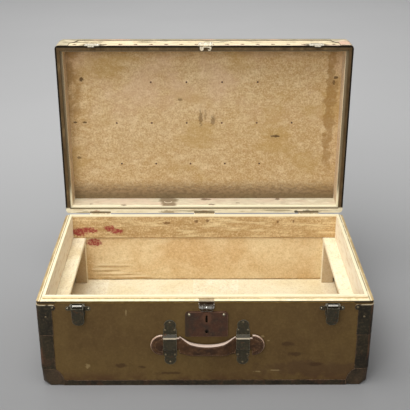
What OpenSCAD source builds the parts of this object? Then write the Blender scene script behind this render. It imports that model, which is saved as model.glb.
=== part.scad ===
/* [Case] */
// Width of the case over its canvas
case_w = 700; // [600:5:820]
// Depth of the case, front to back, over its canvas
case_d = 428; // [380:2:520]
// Height of the body from the ground to its rim
body_h = 208; // [200:1:280]
// Height of the lid from its rim to its top
lid_h = 68; // [62:1:100]
// Radius of the upright corners
corner_r = 8; // [6:0.5:10]
// Radius to which the body's corners are rasped under the caps
rasp_r = 16; // [14:0.5:18]
// Radius to which the lid's corners are rasped under the caps
lid_rasp_r = 9.5; // [9.5:0.5:14]
// Gap between the two rims with the lid shut
rim_gap = 1.2; // [1.0:0.1:2.0]

/* [Boards] */
// Thickness of the body's side boards
board_t = 11; // [10:0.5:14]
// Thickness of the lid's side boards
lid_board_t = 9; // [8:0.5:9.5]
// Thickness of the bottom board
bottom_t = 10; // [8:0.5:14]
// Thickness of the lid's top board
top_t = 6; // [5:0.5:9]
// Target height of one finger of the corner joints
finger_h = 22; // [16:1:30]
// Thickness of the canvas
canvas_t = 1; // [0.8:0.1:1.2]
// Thickness of the lining cloth
cloth_t = 1; // [0.6:0.1:1.2]

/* [Inside of the body] */
// Height of the battens between the bottom and the floor board
batten_h = 10; // [6:1:16]
// Width of one floor batten
batten_w = 40; // [30:1:60]
// Thickness of the floor board
floor_t = 5; // [4:0.5:8]
// Height of the tray rails' top below the rim
rail_drop = 57; // [45:1:70]
// Width of a tray rail
rail_w = 35; // [25:1:45]
// Thickness of a tray rail
rail_t = 8; // [7:0.5:14]
// Width of the posts under the rails
post_w = 29; // [20:1:34]
// Depth of the posts, front to back
post_d = 20; // [15:1:30]
// Thickness of the collar boards
collar_t = 4; // [3:0.5:5]
// Height that the collar stands above the rim
lip_h = 7; // [5:0.5:8]

/* [Inside of the lid] */
// Thickness of the lid's liner boards
liner_t = 4; // [3:0.5:5]
// Depth of the rebate that takes the collar
rebate_h = 9; // [8.5:0.5:12]
// Thickness of the covered panel inside the lid
panel_t = 3; // [2:0.5:5]
// Radius of one lining tack's head
tack_r = 2.4; // [2:0.1:4]
// Height of one lining tack's head
tack_h = 0.8; // [0.6:0.1:1.2]

/* [Edge trim] */
// Thickness of the fibre strips and edge bindings
trim_t = 1.6; // [1.2:0.1:2.0]
// Width of the strips on the upright corners, along each face
strip_w = 31.5; // [26:0.5:36]
// Width of the bindings along the base and the lid's top
band_w = 13; // [10:1:18]
// Height and reach of the corner caps
cap_w = 48; // [46:1:54]
// Height of the upper corner pieces
iron_h = 74; // [60:1:90]
// Width of the upper corner pieces, along each face
iron_w = 33; // [28:1:38]
// Distance from the rim to the upper corner pieces
iron_drop = 7.5; // [4.5:0.5:12]
// Reach of the eared top of the upper corner pieces
ear_w = 41; // [38:1:46]
// Height of the cloth binding down from the rim
bind_lap = 4; // [3:0.5:4.5]
// Thickness of the rim binding
bind_t = 0.6; // [0.4:0.1:0.8]

/* [Hinges] */
// Width of one hinge
hinge_w = 50; // [40:2:60]
// Distance of the outer hinges and latches in from the case's sides
side_in = 86; // [76:1:120]
// Height of one hinge leaf
leaf_h = 30; // [24:1:40]
// Thickness of the hinge leaves
leaf_t = 1.5; // [1.2:0.1:2.0]
// Outer radius of the hinge barrel
barrel_r = 3.2; // [3.0:0.1:3.6]
// Radius of the hinge pin
pin_r = 1.6; // [1.4:0.1:1.8]
// Radial running clearance of pins in their bores
run_c = 0.05; // [0.03:0.01:0.08]

/* [Latches] */
// Thickness of the latch sheet metal
sheet_t = 1.2; // [1.0:0.1:1.4]
// Height of the lever's pivot below the rim
lever_drop = 5.5; // [5.2:0.1:9]
// Distance from the lever's pivot down to the claw's pivot
claw_drop = 22; // [21:0.5:25]
// Length of the lever below its pivot
lever_len = 49; // [46:1:56]
// Width across the latch plate's wings
wing_w = 52; // [46:1:60]
// Width of the claw
claw_w = 20; // [16:0.5:20.5]
// Angle between the claw's free and hooked places
claw_swing = 12; // [11:0.5:14]

/* [Lock] */
// Distance of the lock from the middle
lock_x = 3; // [-10:1:10]
// Width of the lock plate
lock_w = 90; // [80:1:110]
// Height of the lock plate
lock_h = 61; // [54:1:64]
// Height of the lock plate's top below the rim
lock_drop = 23; // [22.5:0.5:30]
// Height of the pressed lock plate off the canvas
lock_t = 4.5; // [4:0.1:6]
// Width of the keyhole
keyhole_w = 4.6; // [3:0.1:5.5]
// Height of the keyhole
keyhole_h = 18; // [12:0.5:20]
// Half width of the keep that takes the hasp
keep_w = 16; // [16:0.5:20]
// Half width of the hasp's prongs
hasp_w = 13.5; // [13:0.5:13.5]
// Travel of the bolt
bolt_travel = 5; // [4:0.1:5.2]

/* [Handle] */
// Distance of the handle from the middle
handle_x = 5; // [-5:1:10]
// How far the handle reaches past the middles of its loops
handle_tail = 43.5; // [42:0.5:50]
// Height of the handle's round ends
lug_h = 50; // [46:1:52]
// Thickness of the grip
grip_t = 12; // [10:0.5:14]
// Depth of the dip in the handle's upper edge
dip_h = 16.5; // [10:0.5:18]
// Height of the handle's middle below the rim
handle_drop = 103; // [100:0.5:110]
// Distance between the two loops
loop_gap = 154; // [140:1:160]
// Height of the loops' middle above the handle's middle
loop_rise = 4; // [3:0.5:7]
// Width of a loop
loop_w = 28; // [26:1:32]
// Height of a loop over its end plates
loop_h = 110; // [106:1:120]
// Thickness of the loop metal
loop_t = 2; // [1.6:0.1:2.4]

/* [Hidden] */
$fn = 48;

// Colours, as the old case shows them
canvas_col = [0.36, 0.29, 0.17];
fibre_col = [0.20, 0.17, 0.13];
cap_col = [0.28, 0.21, 0.16];
lining_col = [0.92, 0.84, 0.67];
panel_col = [0.70, 0.58, 0.40];
wood_col = [0.70, 0.54, 0.36];
nickel_col = [0.74, 0.73, 0.70];
iron_col = [0.20, 0.19, 0.13];
lock_col = [0.26, 0.17, 0.13];
leather_col = [0.31, 0.18, 0.13];

// The case's half sizes over the canvas, and the boards' inner faces
hw = case_w / 2;
hd = case_d / 2;
ix = hw - canvas_t - board_t;
iy = hd - canvas_t - board_t;
jx = hw - canvas_t - lid_board_t;
jy = hd - canvas_t - lid_board_t;
over = 2;

// Heights in the body
wall_z0 = trim_t + canvas_t + bottom_t;
wall_z1 = body_h - bind_t;
floor_z0 = wall_z0 + batten_h;
floor_z1 = floor_z0 + floor_t;
floor_z2 = floor_z1 + cloth_t;
rail_z = body_h - rail_drop;
lip_z = body_h + lip_h;
body_fingers = 2 * floor((wall_z1 - wall_z0) / (2 * finger_h)) + 1;

// Heights in the shut lid
lid_z0 = body_h + rim_gap;
lid_z1 = lid_z0 + lid_h;
lid_wall_z0 = lid_z0 + bind_t;
lid_wall_z1 = lid_z1 - canvas_t - top_t;
panel_z = lid_wall_z1 - panel_t;
lid_fingers = 2 * floor((lid_wall_z1 - lid_wall_z0) / (2 * finger_h)) + 1;

// The lid turns about the hinge pins and rests open against the hinges' heels
barrel_gap = 0.2;
hinge_x = hw - side_in;
hinge_y = hd + barrel_r + barrel_gap;
hinge_z = body_h + rim_gap / 2;
lid_open = 90;
knuckles = 5;
knuckle_gap = 0.3;

// Places of the latch parts, as heights and as distances out from the canvas
lever_z = body_h - lever_drop;
lever_u = 7.4;
claw_z = lever_z - claw_drop;
claw_u = 4.6;
latch_pin_r = 1.5;
claw_pin_r = 1.2;
cheek_x = 11.4;
ear_x = 13;
wing_z = lever_z - 10.5;
head_x = ear_x + sheet_t;
claw_top = lever_z + 2;
plate_top = body_h - bind_lap - 0.1;

// Plates on the lid's front that carry the catches and the hasp
plate_z = lid_z0 + 1.5;
catch_w = 35;
catch_h = 20;
hasp_plate_w = 35;
hasp_plate_h = 34;

// Places of the lock and its hasp
lock_z1 = body_h - lock_drop;
lock_z0 = lock_z1 - lock_h;
keep_z0 = lock_z1 + 1.5;
keep_t = 5.2;
keep_wall = 1.2;
keep_back = 1;
hasp_u = 3.4;
hasp_z = lid_z0 - 4.5;
hasp_in = 1.3;
hasp_barrel_r = 2.1;
keep_z1 = hasp_z - hasp_barrel_r - 0.4;
hasp_pin_r = 1;
flap_u = 1.8;
flap_z0 = keep_z0 + 5;
prong_gap = 4.5;
prong_r = (hasp_w - prong_gap) / 2;
saddle_t = rim_gap / 2;

// Places of the handle and its loops
handle_z = body_h - handle_drop;
loop_z = handle_z + loop_rise;
handle_len = loop_gap + 2 * handle_tail;
handle_play = 3;
lug_r = lug_h / 2;
neck_h = 28;
strap_t = 6;
strap_u = 2.5;
loop_c = 0.3;
loop_u = strap_u + strap_t + loop_c;
loop_in = neck_h / 2 + loop_c;
tip_r = 12.5;

// Names for the two sides of anything made in pairs
SIDES = [-1, 1];

// Outline of a rectangle with rounded corners
module rounded_rect(w, d, r) {
  square([w - 2 * r, d], center = true);
  square([w, d - 2 * r], center = true);
  for (sx = SIDES, sy = SIDES)
    translate([sx * (w / 2 - r), sy * (d / 2 - r)])
      circle(r);
}

// Upright block with rounded corners, given by its half sizes
module block(half_w, half_d, r, z0, z1) {
  translate([0, 0, z0])
    linear_extrude(z1 - z0)
      rounded_rect(2 * half_w, 2 * half_d, r);
}

// Square-cornered box about the Z axis, given by its half sizes
module core(half_w, half_d, z0, z1) {
  translate([-half_w, -half_d, z0])
    cube([2 * half_w, 2 * half_d, z1 - z0]);
}

// Material that the rasp takes off the base's four corners, under the caps
module rasped_corners(r) {
  s = r + over;
  four_corners()
    difference() {
      translate([hw - r, hd - r, -over])
        cube([s, s, rasp_z + over]);
      translate([hw - r, hd - r, trim_t + r])
        sphere(r - canvas_t);
      translate([hw - r, hd - r, trim_t + r])
        cylinder(h = rasp_z, r = r - canvas_t);
    }
}

// Wooden body as one block, from the underside of its bottom board
module body_block(z1, r = rasp_r) {
  difference() {
    block(hw - canvas_t, hd - canvas_t, corner_r - canvas_t, trim_t + canvas_t, z1);
    rasped_corners(r);
  }
}

// Wooden lid as one block, shut
module lid_block(z0) {
  difference() {
    block(hw - canvas_t, hd - canvas_t, corner_r - canvas_t, z0, lid_z1 - canvas_t);
    turn_over()
      rasped_corners(lid_rasp_r);
  }
}

// Room of a front (-1) or back (1) board, which owns the even fingers
module long_board_room(side, in_x, in_y, z0, z1, n) {
  f = (z1 - z0) / n;
  translate([0, side * (in_y + hd) / 2, (z0 + z1) / 2])
    cube([2 * in_x, hd - in_y, z1 - z0], center = true);
  for (k = [0 : 2 : n - 1])
    translate([0, side * (in_y + hd) / 2, z0 + (k + 0.5) * f])
      cube([case_w, hd - in_y, f], center = true);
}

// Room of a left (-1) or right (1) board, which owns the odd fingers
module short_board_room(side, in_x, in_y, z0, z1, n) {
  f = (z1 - z0) / n;
  translate([side * (in_x + hw) / 2, 0, (z0 + z1) / 2])
    cube([hw - in_x, 2 * in_y, z1 - z0], center = true);
  for (k = [1 : 2 : n - 2])
    translate([side * (in_x + hw) / 2, 0, z0 + (k + 0.5) * f])
      cube([hw - in_x, case_d, f], center = true);
}

// Swings what is drawn with the lid shut to where the lid stands open
module open_lid() {
  translate([0, hinge_y, hinge_z])
    rotate([-lid_open, 0, 0])
      translate([0, -hinge_y, -hinge_z])
        children();
}

// Sets an outline on the front, drawn in X and Z, with its height outwards
module on_front(x, z, u) {
  translate([x, -hd - u, z])
    rotate([90, 0, 0])
      children();
}

// Extrudes a profile along X: its points are [distance out from the front, height]
module front_profile(x, w, points) {
  translate([x - w / 2, 0, 0])
    rotate([90, 0, 90])
      linear_extrude(w)
        polygon([for (p = points) [-hd - p[0], p[1]]]);
}

// Cylinder along X, centred on x, at a distance out from the front
module front_rod(x, w, u, z, r) {
  translate([x - w / 2, -hd - u, z])
    rotate([0, 90, 0])
      cylinder(h = w, r = r);
}

// Low domed head with its flat side at the local origin and its crown up
module dome(r, h) {
  ball = (r * r + h * h) / (2 * h);
  intersection() {
    translate([0, 0, h - ball])
      sphere(ball);
    cylinder(h = h + 1, r = r + 1);
  }
}

// Places its children in the four upright corners
module four_corners() {
  for (sx = SIDES, sy = SIDES)
    mirror([sx < 0 ? 1 : 0, 0, 0])
      mirror([0, sy < 0 ? 1 : 0, 0])
        children();
}

// Slots that the hinge leaves need in the rims' bindings
module hinge_slots() {
  for (x = [-hinge_x, 0, hinge_x])
    translate([x, hd, body_h])
      cube([hinge_w + 2, 8, 2 * leaf_h], center = true);
}

// Body boards

module body_front_board() {
  color(wood_col)
    intersection() {
      body_block(wall_z1);
      long_board_room(-1, ix, iy, wall_z0, wall_z1, body_fingers);
    }
}

module body_back_board() {
  color(wood_col)
    intersection() {
      body_block(wall_z1);
      long_board_room(1, ix, iy, wall_z0, wall_z1, body_fingers);
    }
}

module body_left_board() {
  color(wood_col)
    intersection() {
      body_block(wall_z1);
      short_board_room(-1, ix, iy, wall_z0, wall_z1, body_fingers);
    }
}

module body_right_board() {
  color(wood_col)
    intersection() {
      body_block(wall_z1);
      short_board_room(1, ix, iy, wall_z0, wall_z1, body_fingers);
    }
}

module body_bottom_board() {
  color(wood_col)
    body_block(wall_z0);
}

// Canvas glued over the body, thicker under the base so that it lies level
// with the bindings
module body_canvas() {
  color(canvas_col)
    difference() {
      union() {
        block(hw, hd, corner_r, trim_t, wall_z1);
        core(hw - band_w, hd - band_w, 0, trim_t + canvas_t / 2);
      }
      block(hw - canvas_t, hd - canvas_t, corner_r - canvas_t, trim_t + canvas_t, body_h);
      cap_rooms();
    }
}

// Cloth binding over the top of the boards and a little way down the front
module body_rim_binding() {
  color(fibre_col)
    difference() {
      block(hw + bind_t, hd + bind_t, corner_r + bind_t, body_h - bind_lap, body_h);
      block(hw, hd, corner_r, body_h - bind_lap - over, wall_z1);
      core(ix, iy, body_h - bind_lap - over, body_h + over);
      hinge_slots();
      on_front(lock_x, body_h, -over)
        linear_extrude(2 * over)
          square([2 * keep_w + 1, 2 * bind_lap + over], center = true);
    }
}

// Floor of the body

module floor_battens() {
  color(wood_col)
    for (x = [-ix + batten_w, 0, ix - batten_w])
      translate([x - batten_w / 2, -iy + cloth_t, wall_z0])
        cube([batten_w, 2 * (iy - cloth_t), batten_h]);
}

module floor_board() {
  color(wood_col)
    core(ix - cloth_t, iy - cloth_t, floor_z0, floor_z1);
}

module floor_lining() {
  color(lining_col)
    core(ix - cloth_t, iy - cloth_t, floor_z1, floor_z2);
}

module wall_lining() {
  color(lining_col)
    difference() {
      core(ix, iy, wall_z0, rail_z);
      core(ix - cloth_t, iy - cloth_t, wall_z0 - over, rail_z + over);
    }
}

// Collar boards, which stand above the rim and guide the lid

module collar_front() {
  color(wood_col)
    translate([-ix, -iy, rail_z])
      cube([2 * ix, collar_t, lip_z - cloth_t - rail_z]);
}

module collar_back() {
  color(wood_col)
    translate([-ix, iy - collar_t, rail_z])
      cube([2 * ix, collar_t, lip_z - cloth_t - rail_z]);
}

module collar_side(side) {
  translate([side * (ix - collar_t / 2), 0, (rail_z + lip_z - cloth_t) / 2])
    cube([collar_t, 2 * (iy - collar_t), lip_z - cloth_t - rail_z], center = true);
}

module collar_left() {
  color(wood_col)
    collar_side(-1);
}

module collar_right() {
  color(wood_col)
    collar_side(1);
}

// Lining cloth folded over the collar's top edge
module collar_lining() {
  in = collar_t + cloth_t;
  color(lining_col)
    difference() {
      union() {
        core(ix, iy, rail_z, lip_z);
        core(ix + cloth_t, iy + cloth_t, body_h, lip_z);
      }
      core(ix - in, iy - in, rail_z - over, lip_z + over);
      difference() {
        core(ix, iy, rail_z - over, lip_z - cloth_t);
        core(ix - collar_t, iy - collar_t, rail_z - 2 * over, lip_z);
      }
    }
}

// Tray rails, with a rounded inner edge, and the posts that carry them

module tray_rail(side) {
  x1 = ix - cloth_t;
  x0 = x1 - rail_w;
  r = rail_t * 0.4;
  mirror([side < 0 ? 1 : 0, 0, 0])
    translate([0, iy - cloth_t, 0])
      rotate([90, 0, 0])
        linear_extrude(2 * (iy - cloth_t)) {
          translate([x0, rail_z - rail_t])
            square([rail_w, rail_t - r]);
          translate([x0 + r, rail_z - rail_t])
            square([rail_w - r, rail_t]);
          translate([x0 + r, rail_z - r])
            circle(r);
        }
}

module tray_rail_left() {
  color(lining_col)
    tray_rail(-1);
}

module tray_rail_right() {
  color(lining_col)
    tray_rail(1);
}

module rail_posts() {
  color(lining_col)
    four_corners()
      translate([ix - cloth_t - rail_w + 1, iy - cloth_t - post_d, floor_z2])
        cube([post_w, post_d, rail_z - rail_t - floor_z2]);
}

// Edge trim of the body

// Space that a base corner cap takes, or a lid cap when turned over
module cap_room() {
  intersection() {
    translate([hw + trim_t - cap_w, hd + trim_t - cap_w, -over])
      cube([cap_w + over, cap_w + over, cap_h + over]);
    translate([hw - cap_off, hd - cap_off, cap_off])
      sphere(cap_ball);
  }
}

// The cap's edge on each face is the arc that one ball cuts: it passes the
// neck's width at the cap's height, and the full reach at the base
cap_h = 42;
cap_off = 10;
rasp_z = cap_h - 6;
cap_ball = norm([cap_w - cap_off - trim_t, cap_off - band_w / 2, cap_off]);

module cap_rooms() {
  four_corners()
    cap_room();
}

// Domed corner cap of moulded fibre, drawn for the base: its ball shape at the
// foot narrows upwards to the radius of the case's upright corner
module corner_cap(r) {
  far = cap_w + over;
  e = 3;
  intersection() {
    cap_room();
    difference() {
      hull() {
        translate([hw - r, hd - r, trim_t + r])
          sphere(r + trim_t, $fn = 32);
        translate([hw - corner_r, hd - corner_r, cap_w])
          cylinder(r = corner_r + trim_t, h = 1, $fn = 32);
        translate([hw - far, hd + trim_t - e, e])
          rotate([0, 90, 0])
            cylinder(r = e, h = far - r, $fn = 32);
        translate([hw + trim_t - e, hd - far, e])
          rotate([-90, 0, 0])
            cylinder(r = e, h = far - r, $fn = 32);
        translate([hw - far, hd - far, 0])
          cube([1, far + trim_t - e, cap_w]);
        translate([hw - far, hd - far, 0])
          cube([far + trim_t - e, 1, cap_w]);
        translate([hw - far, hd - far, cap_w])
          cube([1, far + trim_t, 1]);
        translate([hw - far, hd - far, cap_w])
          cube([far + trim_t, 1, 1]);
      }
      body_block(cap_w + over, r);
    }
  }
}

module base_corner_caps() {
  color(cap_col)
    four_corners()
      corner_cap(rasp_r);
}

// Fibre binding round the lower edge, between the caps
module base_binding() {
  color(fibre_col)
    difference() {
      block(hw + trim_t, hd + trim_t, corner_r + trim_t, 0, band_w);
      block(hw, hd, corner_r, trim_t, band_w + over);
      core(hw - band_w, hd - band_w, -over, band_w);
      cap_rooms();
    }
}

// Fibre angle strips up the four corners, from the caps to the upper pieces
module angle_strip(w, t, z0, z1) {
  four_corners()
    intersection() {
      difference() {
        block(hw + t, hd + t, corner_r + t, z0, z1);
        block(hw, hd, corner_r, z0 - over, z1 + over);
      }
      translate([hw + trim_t - w, hd + trim_t - w, z0 - over])
        cube([w + t, w + t, z1 - z0 + 2 * over]);
    }
}

module corner_strips() {
  color(fibre_col)
    difference() {
      angle_strip(strip_w, trim_t, cap_h - over, body_h - iron_drop - iron_h);
      cap_rooms();
    }
}

// Outline of one upper corner piece on a face, as [distance from corner, height]
module iron_outline() {
  top = body_h - iron_drop;
  ear_r = 6.5;
  translate([-over, top - iron_h])
    square([iron_w + over, iron_h]);
  translate([-over, top - 2 * ear_r])
    square([ear_w - ear_r + over, 2 * ear_r]);
  translate([ear_w - ear_r, top - ear_r])
    circle(ear_r);
}

module upper_corner_pieces() {
  t = trim_t + 0.2;
  z0 = body_h - iron_drop - iron_h;
  color(fibre_col)
    four_corners()
      difference() {
        intersection() {
          block(hw + t, hd + t, corner_r + t, z0, body_h - iron_drop);
          union() {
            translate([hw + t, hd + over, 0])
              rotate([90, 0, 0])
                mirror([1, 0, 0])
                  linear_extrude(corner_r + 2 * over)
                    iron_outline();
            translate([hw + over, hd + t, 0])
              rotate([90, 0, -90])
                linear_extrude(corner_r + 2 * over)
                  iron_outline();
          }
        }
        block(hw, hd, corner_r, z0 - over, body_h);
      }
}

// Hinges: the drawing is of one hinge about X = 0, with the lid shut

knuckle_w = hinge_w / knuckles;

// Barrel lengths of one leaf: the body's leaf has the outer and middle ones
module barrel(first, r, trim) {
  for (k = [first : 2 : knuckles - 1])
    translate([-hinge_w / 2 + k * knuckle_w + trim, hinge_y, hinge_z])
      rotate([0, 90, 0])
        cylinder(h = knuckle_w - 2 * trim, r = r);
}

module pin_bore(r) {
  translate([-hinge_w / 2 - over, hinge_y, hinge_z])
    rotate([0, 90, 0])
      cylinder(h = hinge_w + 2 * over, r = r);
}

// Plate of a leaf, flat against the back, with rounded far corners
module leaf_plate(up) {
  r = 4;
  translate([0, hd, hinge_z])
    mirror([0, 0, up ? 0 : 1])
      rotate([90, 0, 0])
        translate([0, 0, -leaf_t])
          linear_extrude(leaf_t) {
            translate([-hinge_w / 2, knuckle_gap])
              square([hinge_w, leaf_h - r]);
            translate([-hinge_w / 2 + r, leaf_h - r])
              square([hinge_w - 2 * r, r]);
            for (sx = SIDES)
              translate([sx * (hinge_w / 2 - r), leaf_h - r])
                circle(r);
          }
}

// Heel that the open lid's leaf comes down on, one at each end of the hinge
module hinge_heel() {
  t = hinge_w * 0.06;
  b = barrel_r;
  y0 = hd + leaf_t * 0.7;
  stop_z = hinge_z + barrel_r + barrel_gap - leaf_t - 0.2;
  points = [
    [y0, hinge_z - 6.9 * b], [y0, hinge_z - 2.2 * b], [hinge_y + 0.6 * b, hinge_z - 1.6 * b],
    [hinge_y + 1.3 * b, stop_z - 0.9 * b], [hinge_y + 1.45 * b, stop_z],
    [hinge_y + 4.7 * b, stop_z], [hinge_y + 4.4 * b, stop_z - 1.2 * b],
    [hinge_y + 1.2 * b, hinge_z - 4.7 * b]
  ];
  for (sx = SIDES)
    translate([sx * (hinge_w / 2 - t / 2) - t / 2, 0, 0])
      rotate([90, 0, 90])
        linear_extrude(t)
          polygon(points);
}

module hinge_body_leaf() {
  difference() {
    union() {
      leaf_plate(false);
      barrel(0, barrel_r, knuckle_gap / 2);
      hinge_heel();
    }
    barrel(1, barrel_r + 0.4, -knuckle_gap / 2);
    pin_bore(pin_r + run_c);
  }
}

module hinge_lid_leaf() {
  difference() {
    union() {
      leaf_plate(true);
      barrel(1, barrel_r, knuckle_gap / 2);
    }
    barrel(0, barrel_r + 0.4, -knuckle_gap / 2);
    pin_bore(pin_r + run_c);
  }
}

module hinge_body_leaves() {
  color(nickel_col)
    for (x = [-hinge_x, 0, hinge_x])
      translate([x, 0, 0])
        hinge_body_leaf();
}

module hinge_pins() {
  head_t = 1.2;
  color(nickel_col)
    for (x = [-hinge_x, 0, hinge_x])
      translate([x - hinge_w / 2, hinge_y, hinge_z])
        rotate([0, 90, 0]) {
          translate([0, 0, -head_t])
            cylinder(h = hinge_w + 2 * head_t, r = pin_r);
          for (z = [-head_t, hinge_w])
            translate([0, 0, z])
              cylinder(h = head_t, r = pin_r + 0.8);
        }
}

module hinge_lid_leaves() {
  color(nickel_col)
    open_lid()
      for (x = [-hinge_x, 0, hinge_x])
        translate([x, 0, 0])
          hinge_lid_leaf();
}

// Latches: each is drawn about its own middle at x

// Plate with wings for its rivets and two ears that hold the lever
module latch_plate(x) {
  foot_z = claw_z - 8;
  wing_r = 4.6;
  panel_w = 2 * (ear_x + sheet_t);
  ear_r = 3.4;
  difference() {
    union() {
      on_front(x, wing_z, 0)
        linear_extrude(sheet_t)
          rounded_rect(wing_w, 2 * wing_r, wing_r - 0.1);
      on_front(x, (plate_top + foot_z) / 2, 0)
        linear_extrude(sheet_t)
          rounded_rect(panel_w, plate_top - foot_z, 5);
      for (s = SIDES) {
        front_profile(x + s * (ear_x + sheet_t / 2), sheet_t, [
          [0.2, lever_z - ear_r - 1.5], [sheet_t, lever_z - ear_r - 1.5],
          [lever_u, lever_z - ear_r], [lever_u, lever_z + ear_r],
          [sheet_t, plate_top], [0.2, plate_top]
        ]);
        front_rod(x + s * (ear_x + sheet_t / 2), sheet_t, lever_u, lever_z, ear_r);
      }
    }
    front_rod(x, wing_w, lever_u, lever_z, latch_pin_r + run_c);
  }
}

module latch_left_plate() {
  color(nickel_col)
    latch_plate(-hinge_x);
}

module latch_right_plate() {
  color(nickel_col)
    latch_plate(hinge_x);
}

// Short pins on which the levers turn, one through each ear
module latch_lever_pins() {
  in_x = cheek_x - 0.4;
  color(nickel_col)
    for (x = [-hinge_x, hinge_x], s = SIDES)
      translate([x, -hd - lever_u, lever_z])
        mirror([s < 0 ? 1 : 0, 0, 0])
          rotate([0, 90, 0]) {
            translate([0, 0, in_x])
              cylinder(h = head_x - in_x + 0.2, r = latch_pin_r);
            translate([0, 0, head_x + 0.1])
              dome(2.8, 1.9);
          }
}

// Lever seen from the side: its face leans out from the foot to the top, where
// the claw comes out behind it, and its cheeks reach in to the plate
foot_u = 4.8;
foot_z = lever_z - lever_len;
face_top = lever_z - 4.5;
face_lean = 0.186;
function face_u(z) = foot_u + face_lean * (z - foot_z);

cheek_in = sheet_t + 0.3;
cheek_low = lever_z - 33;
half_t = sheet_t / 2;
cheek_points = [
  [3.6, lever_z + 1], [cheek_in, lever_z - 3], [cheek_in, cheek_low + 6],
  [face_u(cheek_low) - 2, cheek_low], [face_u(cheek_low) + half_t, cheek_low],
  [face_u(face_top) + half_t, face_top], [lever_u + 3, lever_z + 1]
];

// Shield-shaped lever: two cheeks, a sloping face with a rounded foot, and the
// pin that carries the claw
module latch_lever(x) {
  half_w = cheek_x + sheet_t;
  difference() {
    union() {
      for (s = SIDES) {
        front_profile(x + s * (cheek_x + sheet_t / 2), sheet_t, cheek_points);
        front_rod(x + s * (cheek_x + sheet_t / 2), sheet_t, lever_u, lever_z, 4.1);
      }
      intersection() {
        front_profile(x, 2 * half_w, [
          [face_u(face_top), face_top], [face_u(face_top) + sheet_t, face_top],
          [foot_u + sheet_t, foot_z], [foot_u, foot_z]
        ]);
        on_front(x, 0, 0)
          linear_extrude(30) {
            translate([0, foot_z + half_w])
              circle(half_w);
            translate([-half_w, foot_z + half_w])
              square([2 * half_w, face_top - foot_z - half_w]);
          }
      }
    }
    front_rod(x, 2 * head_x, lever_u, lever_z, latch_pin_r + run_c);
    front_rod(x, 2 * head_x, claw_u, claw_z, claw_pin_r);
  }
  front_rod(x, 2 * half_w, claw_u, claw_z, claw_pin_r);
}

module latch_left_lever() {
  color(iron_col)
    latch_lever(-hinge_x);
}

module latch_right_lever() {
  color(iron_col)
    latch_lever(hinge_x);
}

// Hook of the lid catch: the claw's tip drops into its trough
hook_foot = 10;
hook_in = sheet_t + 0.3;
trough_in = hook_in + sheet_t;
trough_out = trough_in + 2.2;
hook_out = trough_out + sheet_t;
hook_z = claw_top - hook_foot;

// Claw in its hooked place, before it swings out to where it rests
claw_points = [
  [claw_u - 1.4, claw_z + 1.2], [claw_u - 1.4, claw_z + 4],
  [hook_out + 0.7, hook_z - 0.8], [hook_out + 0.7, claw_top - sheet_t],
  [trough_out - 0.4, claw_top - sheet_t], [trough_out - 0.4, hook_z + 3.2],
  [trough_in + 0.6, hook_z + 3.2], [trough_in + 0.6, claw_top],
  [hook_out + 0.7 + sheet_t, claw_top], [hook_out + 0.7 + sheet_t, hook_z - 1],
  [claw_u + 1.6, claw_z + 3], [claw_u + 1.6, claw_z]
];

module latch_claw(x) {
  translate([0, -hd - claw_u, claw_z])
    rotate([claw_swing, 0, 0])
      translate([0, hd + claw_u, -claw_z])
        difference() {
          union() {
            intersection() {
              front_profile(x, claw_w, claw_points);
              on_front(x, 0, 0)
                linear_extrude(20)
                  polygon([
                    [-7, claw_z - 3], [7, claw_z - 3], [7, claw_top - 9],
                    [claw_w / 2, claw_top - 5], [claw_w / 2, claw_top],
                    [-claw_w / 2, claw_top], [-claw_w / 2, claw_top - 5], [-7, claw_top - 9]
                  ]);
            }
            front_rod(x, 14, claw_u, claw_z, 2.4);
          }
          front_rod(x, 30, claw_u, claw_z, claw_pin_r + run_c);
        }
}

module latch_left_claw() {
  color(nickel_col)
    latch_claw(-hinge_x);
}

module latch_right_claw() {
  color(nickel_col)
    latch_claw(hinge_x);
}

// Hooked catches on the lid's front, drawn with the lid shut
module lid_catch(x) {
  front_profile(x, catch_w * 0.4, [
    [hook_in, hook_z], [hook_out, hook_z], [hook_out, hook_z + 5], [trough_out, hook_z + 5],
    [trough_out, hook_z + sheet_t], [trough_in, hook_z + sheet_t], [trough_in, plate_z + 3],
    [sheet_t, plate_z + 6], [sheet_t, plate_z + 9], [0, plate_z + 9], [0, plate_z],
    [hook_in, plate_z - 1]
  ]);
  on_front(x, plate_z + catch_h / 2, 0)
    linear_extrude(sheet_t)
      rounded_rect(catch_w, catch_h, 4);
}

module lid_catches() {
  color(nickel_col)
    open_lid()
      for (x = [-hinge_x, hinge_x])
        lid_catch(x);
}

// Lock: pressed plate over the works, with a raised field
module lock_outline(inset) {
  r_top = 9 - inset;
  r_low = 3;
  w = lock_w / 2 - inset;
  top = lock_h / 2 - inset;
  square([2 * (w - r_top), 2 * top], center = true);
  square([2 * w, 2 * (top - r_top)], center = true);
  for (s = SIDES) {
    translate([s * (w - r_top), top - r_top])
      circle(r_top);
    translate([s * (w - r_low), r_low - top])
      circle(r_low);
    translate([s * (w - r_top) - r_top + r_low, -top])
      square([2 * (r_top - r_low), 2 * r_top]);
    translate([s * (w - r_top) - r_top, r_low - top])
      square([2 * r_top, r_top]);
  }
}

keyhole_z = lock_z1 - 8 - keyhole_h;
peg_hole_r = 2.8;
peg_hole_z = lock_z0 + 11.2;

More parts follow.
